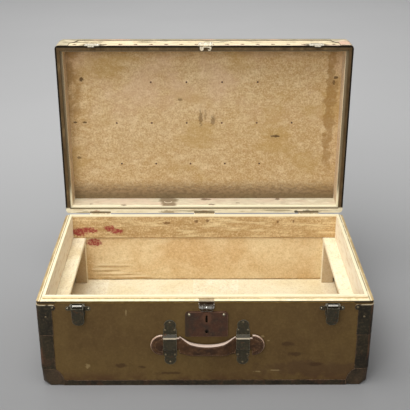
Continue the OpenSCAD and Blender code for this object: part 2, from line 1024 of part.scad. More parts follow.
module lock_plate() {
  mid_z = (lock_z0 + lock_z1) / 2;
  skin = 1.2;
  step = 1.4;
  color(lock_col)
    difference() {
      union() {
        on_front(lock_x, mid_z, 0)
          linear_extrude(lock_t - step)
            lock_outline(0);
        on_front(lock_x, mid_z, 0)
          linear_extrude(lock_t)
            lock_outline(step);
      }
      on_front(lock_x, mid_z, -over)
        linear_extrude(lock_t - skin + over)
          lock_outline(step + skin);
      on_front(lock_x, 0, 0)
        linear_extrude(2 * lock_t) {
          translate([-keyhole_w / 2, keyhole_z])
            square([keyhole_w, keyhole_h - keyhole_w / 2]);
          translate([0, keyhole_z + keyhole_h - keyhole_w / 2])
            circle(keyhole_w / 2);
          for (z = [peg_hole_z, peg_hole_z + peg_hole_r])
            translate([0, z])
              circle(peg_hole_r);
          translate([-peg_hole_r, peg_hole_z])
            square([2 * peg_hole_r, peg_hole_r]);
        }
      bolt_slot();
    }
}

// Slot for the bolt's arm through the lock plate's top and the keep's foot
module bolt_slot() {
  translate([lock_x - arm_x - 0.8, -hd - keep_back - 2.2, lock_z1 - 8])
    cube([arm_w + bolt_travel + 1.6, 2.1, keep_z0 + 4 - lock_z1 + 8]);
}

// Outline of the keep, open at the top, as a bowl below the rim
module keep_outline(inset) {
  w = keep_w - inset;
  foot = keep_w - 5 - inset;
  shoulder = keep_z0 + 9.5;
  polygon([
    [-w, keep_z1 + (inset > 0 ? over : 0)], [w, keep_z1 + (inset > 0 ? over : 0)],
    [w, shoulder], [foot, keep_z0 + inset], [-foot, keep_z0 + inset], [-w, shoulder]
  ]);
}

// Nickel keep that the hasp's prongs drop into, with a saddle over the rim
module lock_keep() {
  saddle_d = 12;
  color(nickel_col)
    difference() {
      union() {
        on_front(lock_x, 0, 0)
          linear_extrude(keep_t)
            keep_outline(0);
        on_front(lock_x, 0, 0)
          linear_extrude(keep_back)
            translate([-keep_w, keep_z1 - 1])
              square([2 * keep_w, body_h + saddle_t - keep_z1 + 1]);
        translate([lock_x - keep_w, -hd - keep_back, body_h])
          cube([2 * keep_w, saddle_d, saddle_t]);
        for (s = SIDES)
          on_front(lock_x + s * 8.5, keep_z0 + 9.5, keep_t - 0.2)
            linear_extrude(0.9)
              rounded_rect(3, 10, 1.4);
        on_front(lock_x, keep_z0 + 8.5, keep_t - 0.2)
          dome(3.2, 1.6);
      }
      on_front(lock_x, 0, keep_back)
        linear_extrude(keep_t - keep_back - keep_wall)
          keep_outline(keep_wall);
      bolt_slot();
    }
}

// Bolt: a slide behind the keyhole whose arm reaches up between the prongs
arm_w = 2.4;
arm_x = 3.9;
finger_z = flap_z0 + 3.2;
finger_t = 3.2;

module lock_bolt() {
  bolt_t = 1.7;
  head = lock_z1 - 14;
  color(nickel_col)
    on_front(lock_x, 0, keep_back + 0.3)
      linear_extrude(bolt_t)
        difference() {
          union() {
            translate([-30, head - 18])
              square([22.5, 22]);
            translate([-30, head])
              square([30 + arm_w - arm_x, 4]);
            translate([-arm_x, head])
              square([arm_w, finger_z + finger_t - head]);
            translate([-arm_x, finger_z])
              square([2 * arm_x, finger_t]);
          }
          translate([-12, head - 20])
            square([5, 9]);
        }
}

// Works behind the lock plate: the post that guides the key, the rails of the
// bolt and the flat spring that holds it
module lock_works() {
  head = lock_z1 - 14;
  rail_u = 3;
  color(nickel_col) {
    on_front(lock_x, keyhole_z + keyhole_h / 2 - 5, 0)
      cylinder(h = lock_t - 1.2, r = 1.1);
    for (z = [head - 18 - 1.05, head + 4 + 1.05])
      on_front(lock_x - 21, z, 0)
        linear_extrude(rail_u)
          square([24, 1.5], center = true);
    on_front(lock_x, 0, 0)
      linear_extrude(rail_u)
        polygon([
          [-38, head - 26], [-37, head - 26], [-30.4, head - 12], [-35, head + 2],
          [-36, head + 2], [-31.4, head - 12]
        ]);
  }
}

// Hasp: a plate on the lid's front and a flap that hangs from it

module hasp_plate() {
  color(nickel_col)
    open_lid()
      union() {
        on_front(lock_x, plate_z + hasp_plate_h / 2, 0)
          linear_extrude(sheet_t)
            rounded_rect(hasp_plate_w, hasp_plate_h, 5);
        on_front(lock_x, plate_z + hasp_plate_h * 0.5, sheet_t - 0.2)
          dome(6, 3);
        for (s = SIDES)
          translate([s * 10, 0, 0]) {
            front_profile(lock_x, 6, [
              [0, plate_z + 3], [0, plate_z], [hasp_in, plate_z - 1], [hasp_in, hasp_z],
              [hasp_u, hasp_z - 1], [hasp_u + 1.8, hasp_z + 1], [sheet_t, plate_z + 6]
            ]);
            front_rod(lock_x, 6, hasp_u, hasp_z, hasp_barrel_r);
          }
        front_rod(lock_x, 27, hasp_u, hasp_z, hasp_pin_r);
      }
}

// Flap with two prongs: it hangs plumb at every angle of the lid, so it is
// drawn shut and only carried to where its pin is
module hasp_flap() {
  pin_y = -hd - hasp_u;
  open_y = hinge_y + hasp_z - hinge_z;
  open_z = hinge_z + hinge_y - pin_y;
  color(nickel_col)
    translate([0, open_y - pin_y, open_z - hasp_z]) {
      difference() {
        union() {
          front_rod(lock_x, 13.4, hasp_u, hasp_z, hasp_barrel_r);
          on_front(lock_x, 0, flap_u)
            linear_extrude(sheet_t)
              difference() {
                union() {
                  translate([-hasp_w, flap_z0 + prong_r])
                    square([2 * hasp_w, hasp_z - 3.4 - flap_z0 - prong_r]);
                  for (s = SIDES)
                    translate([s * (hasp_w + prong_gap) / 2, flap_z0 + prong_r])
                      circle(prong_r);
                  translate([-6.7, hasp_z - 4])
                    square([13.4, 4]);
                }
                translate([-prong_gap, flap_z0 - over])
                  square([2 * prong_gap, finger_z + finger_t + 1.2 - flap_z0 + over]);
                translate([0, finger_z - 0.5])
                  square([arm_x + bolt_travel + 0.5, finger_t + 1]);
              }
        }
        front_rod(lock_x, 40, hasp_u, hasp_z, hasp_pin_r + run_c);
      }
    }
}

// Handle and its loops

// Bow of the handle: how far its inner face stands off at a distance from
// its middle, low under the loops and full between them
function bow(x) =
  let (flat = loop_gap / 2 - loop_w / 2 - 4, t = min(1, max(0, (flat - abs(x)) / 26)))
  strap_u + 4.5 * (1 - cos(180 * t)) / 2;

function thick(x) =
  let (flat = loop_gap / 2 - loop_w / 2 - 4, t = min(1, max(0, (flat - abs(x)) / 26)))
  strap_t + (grip_t - strap_t) * (1 - cos(180 * t)) / 2;

handle_steps = 40;
handle_xs = [for (i = [0 : handle_steps]) handle_len * (i / handle_steps - 0.5)];

// Rivets, and how far the loops' side rivets are from the loops' middles
rivet_r = 2.6;
rivet_h = 1.3;
side_rivet_z = loop_in + loop_t + 14;
leaf_rivet_in = 7;

// Outline of the handle: round ends that can't pull back through the loops, a
// narrower neck inside each loop and a grip with a dipped upper edge
module handle_outline() {
  waist = lug_h - 8;
  shoulder = handle_play + 0.4;
  lug_x = loop_gap / 2 + loop_w / 2 + shoulder;
  grip_x = loop_gap / 2 - loop_w / 2 - shoulder;
  half = handle_len / 2 - lug_r;
  neck_x = lug_x + over;
  dip_half = grip_x - 2;
  dip_r = (dip_half * dip_half + dip_h * dip_h) / (2 * dip_h);
  difference() {
    union() {
      translate([-neck_x, loop_rise - neck_h / 2])
        square([2 * neck_x, neck_h]);
      translate([-grip_x, -waist / 2])
        square([2 * grip_x, waist]);
    }
    translate([0, waist / 2 - dip_h + dip_r])
      circle(dip_r, $fn = 96);
  }
  for (s = SIDES)
    difference() {
      translate([s * half, 0])
        circle(lug_r);
      translate([s * (lug_x - lug_r) - lug_r, -lug_h])
        square([2 * lug_r, 2 * lug_h]);
    }
}

module handle_grip() {
  color(leather_col)
    intersection() {
      on_front(handle_x, handle_z, 0)
        linear_extrude(40)
          handle_outline();
      linear_extrude(2 * handle_z)
        polygon(concat(
          [for (x = handle_xs) [handle_x + x, -hd - bow(x)]],
          [for (i = [0 : handle_steps]) let (x = handle_xs[handle_steps - i])
            [handle_x + x, -hd - bow(x) - thick(x)]]
        ));
    }
}

// Loop of strap iron over the handle, with shouldered end plates
module handle_loop(x) {
  top = loop_in + loop_t;
  out = loop_u + loop_t;
  bend = 3;
  points = [
    [0, loop_h / 2], [loop_t, loop_h / 2], [loop_t, top + bend], [out - bend, top],
    [out, top - bend], [out, bend - top], [out - bend, -top], [loop_t, -top - bend],
    [loop_t, -loop_h / 2], [0, -loop_h / 2],
    [0, -loop_in], [loop_u, -loop_in], [loop_u, loop_in], [0, loop_in]
  ];
  color(iron_col)
    intersection() {
      front_profile(x, loop_w + 2, [for (p = points) [p[0], loop_z + p[1]]]);
      on_front(x, loop_z, 0)
        linear_extrude(40) {
          rounded_rect(loop_w, 2 * (side_rivet_z + 5), 5);
          square([2 * tip_r - 2, loop_h - 2 * tip_r], center = true);
          for (s = SIDES)
            translate([0, s * (loop_h / 2 - tip_r)])
              circle(tip_r);
        }
    }
}

module handle_loop_left() {
  handle_loop(lock_x - loop_gap / 2);
}

module handle_loop_right() {
  handle_loop(lock_x + loop_gap / 2);
}

// Rivets of the body
module body_rivets() {
  color(nickel_col) {
    for (x = [-hinge_x, hinge_x], s = SIDES)
      on_front(x + s * (wing_w / 2 - 4), wing_z, sheet_t)
        dome(2.4, rivet_h);
    for (s = SIDES)
      on_front(lock_x + s * (lock_w / 2 - 9), lock_z1 - 7, lock_t)
        dome(3.4, 2);
    for (x = [lock_x - loop_gap / 2, lock_x + loop_gap / 2]) {
      for (s = SIDES)
        on_front(x, loop_z + s * (loop_h / 2 - 6), loop_t)
          dome(rivet_r, rivet_h);
      for (s = SIDES, k = SIDES)
        on_front(x + k * (loop_w / 2 - 4), loop_z + s * side_rivet_z, loop_t)
          dome(rivet_r, rivet_h);
    }
    four_corners() {
      on_front(-hw - trim_t + ear_w - 6.5, body_h - iron_drop - 6.5, trim_t + 0.2)
        dome(rivet_r, rivet_h);
      on_front(-hw - trim_t + iron_w / 2 + 3, body_h - iron_drop - 29, trim_t + 0.2)
        dome(rivet_r, rivet_h);
    }
    for (x = [-hinge_x, 0, hinge_x], s = SIDES)
      translate([x + s * (hinge_w / 2 - leaf_rivet_in), hd + leaf_t, hinge_z - leaf_h + 8])
        rotate([-90, 0, 0])
          dome(rivet_r, 1);
  }
}

// Lid boards, drawn with the lid shut

module lid_front_board() {
  color(wood_col)
    open_lid()
      intersection() {
        lid_block(lid_wall_z0);
        long_board_room(-1, jx, jy, lid_wall_z0, lid_wall_z1, lid_fingers);
      }
}

module lid_back_board() {
  color(wood_col)
    open_lid()
      intersection() {
        lid_block(lid_wall_z0);
        long_board_room(1, jx, jy, lid_wall_z0, lid_wall_z1, lid_fingers);
      }
}

module lid_left_board() {
  color(wood_col)
    open_lid()
      intersection() {
        lid_block(lid_wall_z0);
        short_board_room(-1, jx, jy, lid_wall_z0, lid_wall_z1, lid_fingers);
      }
}

module lid_right_board() {
  color(wood_col)
    open_lid()
      intersection() {
        lid_block(lid_wall_z0);
        short_board_room(1, jx, jy, lid_wall_z0, lid_wall_z1, lid_fingers);
      }
}

module lid_top_board() {
  color(wood_col)
    open_lid()
      lid_block(lid_wall_z1);
}

module lid_canvas() {
  color(canvas_col)
    open_lid()
      difference() {
        block(hw, hd, corner_r, lid_wall_z0, lid_z1);
        block(hw - canvas_t, hd - canvas_t, corner_r - canvas_t, body_h, lid_z1 - canvas_t);
        turn_over()
          cap_rooms();
      }
}

module lid_rim_binding() {
  color(fibre_col)
    open_lid()
      difference() {
        block(hw + bind_t, hd + bind_t, corner_r + bind_t, lid_z0, lid_z0 + bind_lap);
        block(hw, hd, corner_r, lid_wall_z0, lid_z0 + bind_lap + over);
        core(jx, jy, lid_z0 - over, lid_z0 + bind_lap + over);
        hinge_slots();
        for (x = [-hinge_x, lock_x, hinge_x])
          on_front(x, lid_z0 + bind_lap / 2 + bind_t, 0)
            linear_extrude(over)
              square([36, bind_lap], center = true);
      }
}

module lid_liner_boards() {
  z0 = lid_z0 + rebate_h;
  t = liner_t + cloth_t;
  color(lining_col)
    open_lid() {
      for (s = SIDES)
        translate([0, s * (jy - t / 2), (z0 + panel_z) / 2])
          cube([2 * jx, t, panel_z - z0], center = true);
      for (s = SIDES)
        translate([s * (jx - t / 2), 0, (z0 + panel_z) / 2])
          cube([t, 2 * (jy - t), panel_z - z0], center = true);
    }
}

module lid_lining_panel() {
  color(panel_col)
    open_lid()
      core(jx, jy, panel_z, lid_wall_z1);
}

// Rows of tacks that hold the panel, as [share of the depth towards the hinges,
// place of the first tack in gaps, number of tacks]
tack_gap = case_w / 8;
tack_rows = [[-0.26, -1.5, 4], [-0.015, -2.5, 6], [0.24, -2.4, 5]];

module lid_lining_tacks() {
  color(iron_col)
    open_lid()
      for (row = tack_rows, i = [0 : row[2] - 1])
        translate([(row[1] + i) * tack_gap, row[0] * case_d, panel_z])
          rotate([180, 0, 0])
            dome(tack_r, tack_h);
}

// Edge trim of the lid: the base's trim turned over

module turn_over() {
  translate([0, 0, lid_z1 + trim_t])
    mirror([0, 0, 1])
      children();
}

module lid_corner_strips() {
  color(fibre_col)
    open_lid()
      difference() {
        angle_strip(strip_w, trim_t, lid_z0 + bind_lap, lid_z1 + trim_t - cap_h + over);
        turn_over()
          cap_rooms();
      }
}

module lid_corner_caps() {
  color(cap_col)
    open_lid()
      turn_over()
        four_corners()
          corner_cap(lid_rasp_r);
}

module lid_edge_binding() {
  color(fibre_col)
    open_lid()
      turn_over()
        difference() {
          block(hw + trim_t, hd + trim_t, corner_r + trim_t, 0, band_w);
          block(hw, hd, corner_r, trim_t, band_w + over);
          core(hw - band_w, hd - band_w, -over, band_w);
          cap_rooms();
        }
}

module lid_rivets() {
  color(nickel_col)
    open_lid() {
      for (x = [-hinge_x, hinge_x], s = SIDES)
        on_front(x + s * (catch_w / 2 - 5), plate_z + catch_h * 0.65, sheet_t)
          dome(2.4, rivet_h);
      for (s = SIDES)
        on_front(lock_x + s * (hasp_plate_w / 2 - 5), plate_z + hasp_plate_h * 0.75, sheet_t)
          dome(2.4, rivet_h);
      for (x = [-hinge_x, 0, hinge_x], s = SIDES)
        translate([x + s * (hinge_w / 2 - leaf_rivet_in), hd + leaf_t, hinge_z + leaf_h - 8])
          rotate([-90, 0, 0])
            dome(rivet_r, 1);
    }
}

body_front_board();
body_back_board();
body_left_board();
body_right_board();
body_bottom_board();
body_canvas();
body_rim_binding();
floor_battens();
floor_board();
floor_lining();
wall_lining();
collar_front();
collar_back();
collar_left();
collar_right();
collar_lining();
tray_rail_left();
tray_rail_right();
rail_posts();
corner_strips();
upper_corner_pieces();
base_corner_caps();
base_binding();
hinge_body_leaves();
hinge_pins();
latch_left_plate();
latch_right_plate();
latch_lever_pins();
latch_left_lever();
latch_right_lever();
latch_left_claw();
latch_right_claw();
lock_plate();
lock_keep();
lock_works();
lock_bolt();
handle_grip();
handle_loop_left();
handle_loop_right();
body_rivets();
lid_front_board();
lid_back_board();
lid_left_board();
lid_right_board();
lid_top_board();
lid_canvas();
lid_rim_binding();
lid_liner_boards();
lid_lining_panel();
lid_lining_tacks();
lid_corner_strips();
lid_corner_caps();
lid_edge_binding();
hinge_lid_leaves();
lid_catches();
hasp_plate();
hasp_flap();
lid_rivets();
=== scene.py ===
"""Looks of the travel trunk: finishes, worn cloth, stitched leather, brads, stage and camera."""

import math
import random

import bmesh
import bpy
from bpy.props import FloatProperty, FloatVectorProperty, IntProperty, PointerProperty
from mathutils import Matrix, Vector, noise


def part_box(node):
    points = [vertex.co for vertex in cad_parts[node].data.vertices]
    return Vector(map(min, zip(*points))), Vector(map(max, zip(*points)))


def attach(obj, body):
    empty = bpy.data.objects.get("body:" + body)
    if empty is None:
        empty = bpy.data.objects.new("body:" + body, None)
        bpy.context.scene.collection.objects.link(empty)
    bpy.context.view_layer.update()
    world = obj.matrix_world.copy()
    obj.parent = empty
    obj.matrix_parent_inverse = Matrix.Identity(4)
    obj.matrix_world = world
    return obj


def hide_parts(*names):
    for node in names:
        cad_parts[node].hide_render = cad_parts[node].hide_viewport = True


bl_info = {
    "name": "Travel Trunk",
    "version": (1, 0, 0),
    "blender": (4, 5, 0),
    "location": "3D View > Sidebar > Trunk",
    "description": "Dresses the solids of an old travel trunk with cloth, leather, fibre and metal",
    "category": "Object",
}

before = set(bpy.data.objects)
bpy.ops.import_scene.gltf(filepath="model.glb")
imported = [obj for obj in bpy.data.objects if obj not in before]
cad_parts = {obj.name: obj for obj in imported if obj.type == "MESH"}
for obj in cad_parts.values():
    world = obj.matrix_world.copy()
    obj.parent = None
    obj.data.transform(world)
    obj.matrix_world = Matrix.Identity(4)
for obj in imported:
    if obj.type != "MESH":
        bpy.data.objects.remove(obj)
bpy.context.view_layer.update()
MM = 0.001

# Planes of the case that the finishes need, read from its own nodes
CANVAS_LOW, CANVAS_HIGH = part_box("body_canvas")
LID_LOW, LID_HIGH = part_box("lid_canvas")
PANEL_LOW, PANEL_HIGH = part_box("lid_lining_panel")
WALL_LOW, WALL_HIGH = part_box("wall_lining")
FLOOR_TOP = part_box("floor_lining")[1][2]
LINER_LOW, LINER_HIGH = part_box("lid_liner_boards")
GRIP_LOW, GRIP_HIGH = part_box("handle_grip")
PLATE_LOW, PLATE_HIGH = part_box("lock_plate")
LOOP_LEFT, LOOP_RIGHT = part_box("handle_loop_left"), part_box("handle_loop_right")
FRONT_Y = CANVAS_LOW[1]
RIM_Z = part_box("body_rim_binding")[1][2]
PHOTO_PX = 410

# The handle's middle, half its length, the radius of its round ends, and the distances
# from its middle to the loops' inner and outer sides
HANDLE_X, HANDLE_Z = (GRIP_LOW[0] + GRIP_HIGH[0]) / 2, (GRIP_LOW[2] + GRIP_HIGH[2]) / 2
HANDLE_HALF = (GRIP_HIGH[0] - GRIP_LOW[0]) / 2
LUG = (GRIP_HIGH[2] - GRIP_LOW[2]) / 2
LOOPS_IN = (LOOP_RIGHT[0][0] - LOOP_LEFT[1][0]) / 2
LOOPS_OUT = (LOOP_RIGHT[1][0] - LOOP_LEFT[0][0]) / 2

# Ends of the row of brads along the lid's front
BRADS_LEFT, BRADS_RIGHT = LID_LOW[0] + 44 * MM, LID_HIGH[0] - 44 * MM
# Number of gaps between the brads, which the rust about them follows too
BRAD_GAPS = 17

# Half depth of a ragged patch on an upright face, enough to take in the face's own thickness
PATCH_DEPTH = 20 * MM
# Turn of the surface, in radians, from which an edge counts as sharp
SHARP_ANGLE = 0.6
UP = (0, 0, 1)
FORWARD = (0, -1, 0)


def srgb(code):
    """Linear colour of a hex code."""
    parts = [int(code[i:i + 2], 16) / 255 for i in (1, 3, 5)]
    return tuple(p / 12.92 if p <= 0.04045 else ((p + 0.055) / 1.055) ** 2.4 for p in parts)


def colour(name, code, text):
    """A colour that a user can change."""
    return FloatVectorProperty(
        name=name, description=text, subtype="COLOR", size=3, min=0.0, max=1.0,
        default=srgb(code))


def measure(name, text, default, low, high, unit="LENGTH"):
    """A measure that a user can change."""
    return FloatProperty(name=name, description=text, default=default, min=low, max=high,
                         unit=unit)


class TrunkCloth(bpy.types.PropertyGroup):
    canvas: colour("Canvas", "#634e2c", "Painted canvas over the boards")
    # Also the pale of the lid's front: rubbed canvas and a painted highlight of the light overhead
    bare_and_lit: colour("Bare canvas", "#ddcba6", "Canvas where its paint is rubbed off")
    lining: colour("Lining", "#f5efd6", "Cotton lining in the body")
    wall: colour("Wall lining", "#dcc498", "Cotton lining on the walls, aged darker")
    panel: colour("Lid lining", "#bea278", "Faded lining on the lid's panel")
    stain: colour("Red stain", "#8e3230", "Red stains on the back wall")
    weave: measure("Weave", "Distance between the canvas's threads", 1.3 * MM, 0.5 * MM, 4 * MM)
    fold: measure("Fold height", "Height of the folds in the wall lining", 2.6 * MM, 0.0, 4 * MM)


class TrunkTrim(bpy.types.PropertyGroup):
    fibre: colour("Fibre", "#30291c", "Fibre strips and bindings")
    cap: colour("Corner caps", "#3f3325", "Moulded fibre of the corner caps")
    leather: colour("Leather", "#452d18", "Leather of the handle")
    thread: colour("Thread", "#86684c", "Stitches of the handle")
    stitch: measure("Stitch", "Distance from one stitch to the next", 4.2 * MM, 2 * MM, 10 * MM)
    brads: IntProperty(
        name="Brads", description="Number of brads along the lid's front edge",
        default=BRAD_GAPS + 1, min=0, max=40)


class TrunkMetal(bpy.types.PropertyGroup):
    nickel: colour("Nickel", "#d8d2c4", "Dull nickel plate")
    # Also the painted highlight on the top faces of tarnished nickel
    bright: colour("Bright nickel", "#f2eee4", "Nickel where handling keeps it bright")
    iron: colour("Black iron", "#332e20", "Worn black enamel on iron")
    lock: colour("Lock plate", "#432a1d", "Brown rusted enamel on the lock plate")
    rust: colour("Rust", "#6b3c22", "Rust on iron and tacks")
    brass: colour("Brass", "#5a4826", "Greasy brass of the lock's works")


class TrunkStage(bpy.types.PropertyGroup):
    focal_px: measure("Focal length", "In pixels of the photo", 833.6, 300, 3000, "NONE")
    centre_px: FloatVectorProperty(
        name="Principal point", description="Where the camera's axis meets the picture, in pixels",
        size=2, default=(204.7, 194.4))
    camera_at: FloatVectorProperty(
        name="Camera", description="Place of the camera", size=3, subtype="TRANSLATION",
        unit="LENGTH", default=(-0.0070, -1.7096, 1.0942))
    pitch: measure("Pitch", "Angle of the camera below the horizon", 0.4073, 0, 1.5, "ROTATION")
    yaw: measure("Yaw", "Turn of the camera to the left", -0.0041, -0.5, 0.5, "ROTATION")
    # The floor's near and far colours carry a painted light falloff
    floor: colour("Floor", "#7f7f7f", "Floor under and before the trunk")
    backdrop: colour("Backdrop", "#bebebe", "Floor and backdrop far behind the trunk")
    key: measure("Key light", "Power of the soft light overhead", 54.0, 0, 500, "POWER")
    fill: measure("Fill light", "Power of the soft light in front", 42.0, 0, 500, "POWER")
    behind: measure("Backdrop light", "Power of the soft light behind", 60.0, 0, 1000, "POWER")
    sky: measure("Sky", "Strength of the even light from all sides", 0.42, 0, 2, "NONE")


class Finish:
    """A material being mixed: its shader, its paint and bump so far, and ways to add nodes."""

    def __init__(self, name, roughness, metallic=0.0, sheen=0.0, specular=0.5):
        self.material = bpy.data.materials.new(name)
        self.material.use_nodes = True
        self.tree = self.material.node_tree
        self.shader = self.tree.nodes["Principled BSDF"]
        self.shader.inputs["Roughness"].default_value = roughness
        self.shader.inputs["Metallic"].default_value = metallic
        self.shader.inputs["Sheen Weight"].default_value = sheen
        self.shader.inputs["Specular IOR Level"].default_value = specular
        self.place = self.add("ShaderNodeTexCoord").outputs["Object"]
        self.height = None
        self.paint = None

    def add(self, kind, inputs=None, **settings):
        node = self.tree.nodes.new(kind)
        for key, value in settings.items():
            setattr(node, key, value)
        for key, value in (inputs or {}).items():
            self.feed(node.inputs[key], value)
        return node

    def feed(self, socket, value):
        if isinstance(value, bpy.types.NodeSocket):
            self.tree.links.new(value, socket)
        elif isinstance(value, str):
            socket.default_value = (*srgb(value), 1.0)
        elif socket.type == "RGBA" and len(value) == 3:
            socket.default_value = (*value, 1.0)
        else:
            socket.default_value = value

    def math(self, operation, a, b=0.0):
        return self.add("ShaderNodeMath", {0: a, 1: b}, operation=operation).outputs[0]

    def vector(self, operation, a, b=(0, 0, 0)):
        return self.add("ShaderNodeVectorMath", {0: a, 1: b}, operation=operation).outputs[0]

    def axis(self, name):
        """One coordinate of the surface, in metres."""
        return self.add("ShaderNodeSeparateXYZ", {0: self.place}).outputs[name]

    def noise(self, size, detail=3.0, stretch=(1, 1, 1), shift=0.0, rough=0.55, warp=0.0):
        """Cloudy pattern whose clouds are about size metres across."""
        where = self.vector("MULTIPLY", self.place, stretch)
        where = self.vector("ADD", where, (shift, shift * 0.7, shift * 1.3))
        node = self.add("ShaderNodeTexNoise", {
            "Vector": where, "Scale": 1 / size, "Detail": detail, "Roughness": rough,
            "Distortion": warp})
        return node.outputs["Fac"]

    def level(self, value, low, high, to_low=0.0, to_high=1.0):
        """Smooth step of a value from one level to another."""
        node = self.add("ShaderNodeMapRange", {
            "Value": value, "From Min": low, "From Max": high, "To Min": to_low,
            "To Max": to_high}, interpolation_type="SMOOTHSTEP")
        return node.outputs[0]

    def gloss(self, low, high, *sizes, **more):
        """Roughness that drifts from low to high with a noise."""
        return self.level(self.noise(*sizes, **more), 0.3, 0.7, low, high)

    def clouds(self, low, high, *sizes, **more):
        """1 in the clouds of a noise and 0 between them, with soft borders."""
        return self.level(self.noise(*sizes, **more), low, high)

    def along(self, name, low, high):
        """Smooth step along one axis; it falls where high is below low."""
        return self.level(self.axis(name), low, high)

    def aside(self, name="X"):
        """Distance from the middle plane, alike on both sides."""
        return self.math("ABSOLUTE", self.axis(name))

    def outward(self, name, low, high):
        """Smooth step away from the middle plane."""
        return self.level(self.aside(name), low, high)

    def between(self, value, low, rise, high, fall):
        """1 from rise to fall, with soft ends."""
        return self.both(self.level(value, low, rise), self.level(value, high, fall))

    def both(self, mask, *others):
        """1 only where all the masks are."""
        for other in others:
            mask = self.math("MULTIPLY", mask, other)
        return mask

    def either(self, mask, *others):
        """1 where any of the masks is."""
        for other in others:
            mask = self.math("MAXIMUM", mask, other)
        return mask

    def blend(self, mask, a, b):
        """Colour a where the mask is 0 and colour b where it is 1."""
        node = self.add("ShaderNodeMix", data_type="RGBA")
        self.feed(node.inputs[0], mask)
        self.feed(node.inputs[6], a)
        self.feed(node.inputs[7], b)
        return node.outputs[2]

    def part(self, mask, amount):
        return self.math("MULTIPLY", mask, amount)

    def tint(self, paint, mask, amount, code):
        """Lays a colour over the paint where the mask is, in that strength."""
        return self.blend(self.part(mask, amount), paint, code)

    def coat(self, mask, amount, code):
        """Tints the finish's own paint."""
        self.paint = self.tint(self.paint, mask, amount, code)

    def mottle(self, paint, size, dark, light, amount, stretch=(1, 1, 1), shift=0.0):
        """Fine cloudy grain: towards a dark colour in its dips, a light one on its crests."""
        grain = self.noise(size, 4, stretch, shift, 0.6)
        paint = self.tint(paint, self.level(grain, 0.50, 0.30), amount, dark)
        return self.tint(paint, self.level(grain, 0.50, 0.70), amount, light)

    def spot(self, centre, size, ragged=0.35, grain=0.012):
        """Ragged patch about a point, with its half sizes along the three axes."""
        away = self.vector("SUBTRACT", self.place, centre)
        away = self.vector("DIVIDE", away, size)
        far = self.add("ShaderNodeVectorMath", {0: away}, operation="LENGTH").outputs["Value"]
        rough = self.noise(grain, 4, shift=centre[0] * 7)
        far = self.math("ADD", far, self.math("MULTIPLY", self.math("SUBTRACT", rough, 0.5),
                                              4 * ragged))
        return self.level(far, 1.0, 0.55)

    def patch(self, y, x, z, wide, high, *raggedness):
        """Ragged patch on an upright face at y, with its half width and half height."""
        return self.spot((x, y, z), (wide, PATCH_DEPTH, high), *raggedness)

    def facing(self, direction, low=0.5, high=0.9):
        """1 where the true surface faces a direction of the frame."""
        normal = self.add("ShaderNodeNewGeometry").outputs["True Normal"]
        back = self.add("ShaderNodeVectorTransform", {0: normal}, vector_type="NORMAL",
                        convert_from="WORLD", convert_to="OBJECT").outputs[0]
        dot = self.add("ShaderNodeVectorMath", {0: back, 1: direction},
                       operation="DOT_PRODUCT").outputs["Value"]
        return self.level(dot, low, high)

    def weave(self, pitch):
        """Threads of a plain weave on any face that is square to the axes."""
        turned = self.vector("MULTIPLY", self.place, (2 * math.pi / pitch,) * 3)
        waves = self.vector("SINE", turned)
        total = self.add("ShaderNodeVectorMath", {0: waves, 1: (1, 1, 1)},
                         operation="DOT_PRODUCT").outputs["Value"]
        return self.level(total, -2.0, 2.0)

    def worn_edges(self, radius, low=0.02, high=0.25):
        """1 along sharp edges, where handling rubs the finish off."""
        round_normal = self.add("ShaderNodeBevel", {"Radius": radius}, samples=4).outputs[0]
        true_normal = self.add("ShaderNodeNewGeometry").outputs["Normal"]
        dot = self.add("ShaderNodeVectorMath", {0: round_normal, 1: true_normal},
                       operation="DOT_PRODUCT").outputs["Value"]
        return self.level(self.math("SUBTRACT", 1.0, dot), low, high)

    def relief(self, height, depth):
        """Adds a bump of that depth in metres; later ones lie on earlier ones."""
        inputs = {"Height": height, "Distance": depth, "Strength": 1.0}
        if self.height is not None:
            inputs["Normal"] = self.height
        self.height = self.add("ShaderNodeBump", inputs).outputs[0]

    def done(self, roughness=None):
        self.feed(self.shader.inputs["Base Color"], self.paint)
        if roughness is not None:
            self.feed(self.shader.inputs["Roughness"], roughness)
        if self.height is not None:
            self.feed(self.shader.inputs["Normal"], self.height)
        return self.material


# Finishes of the cloth

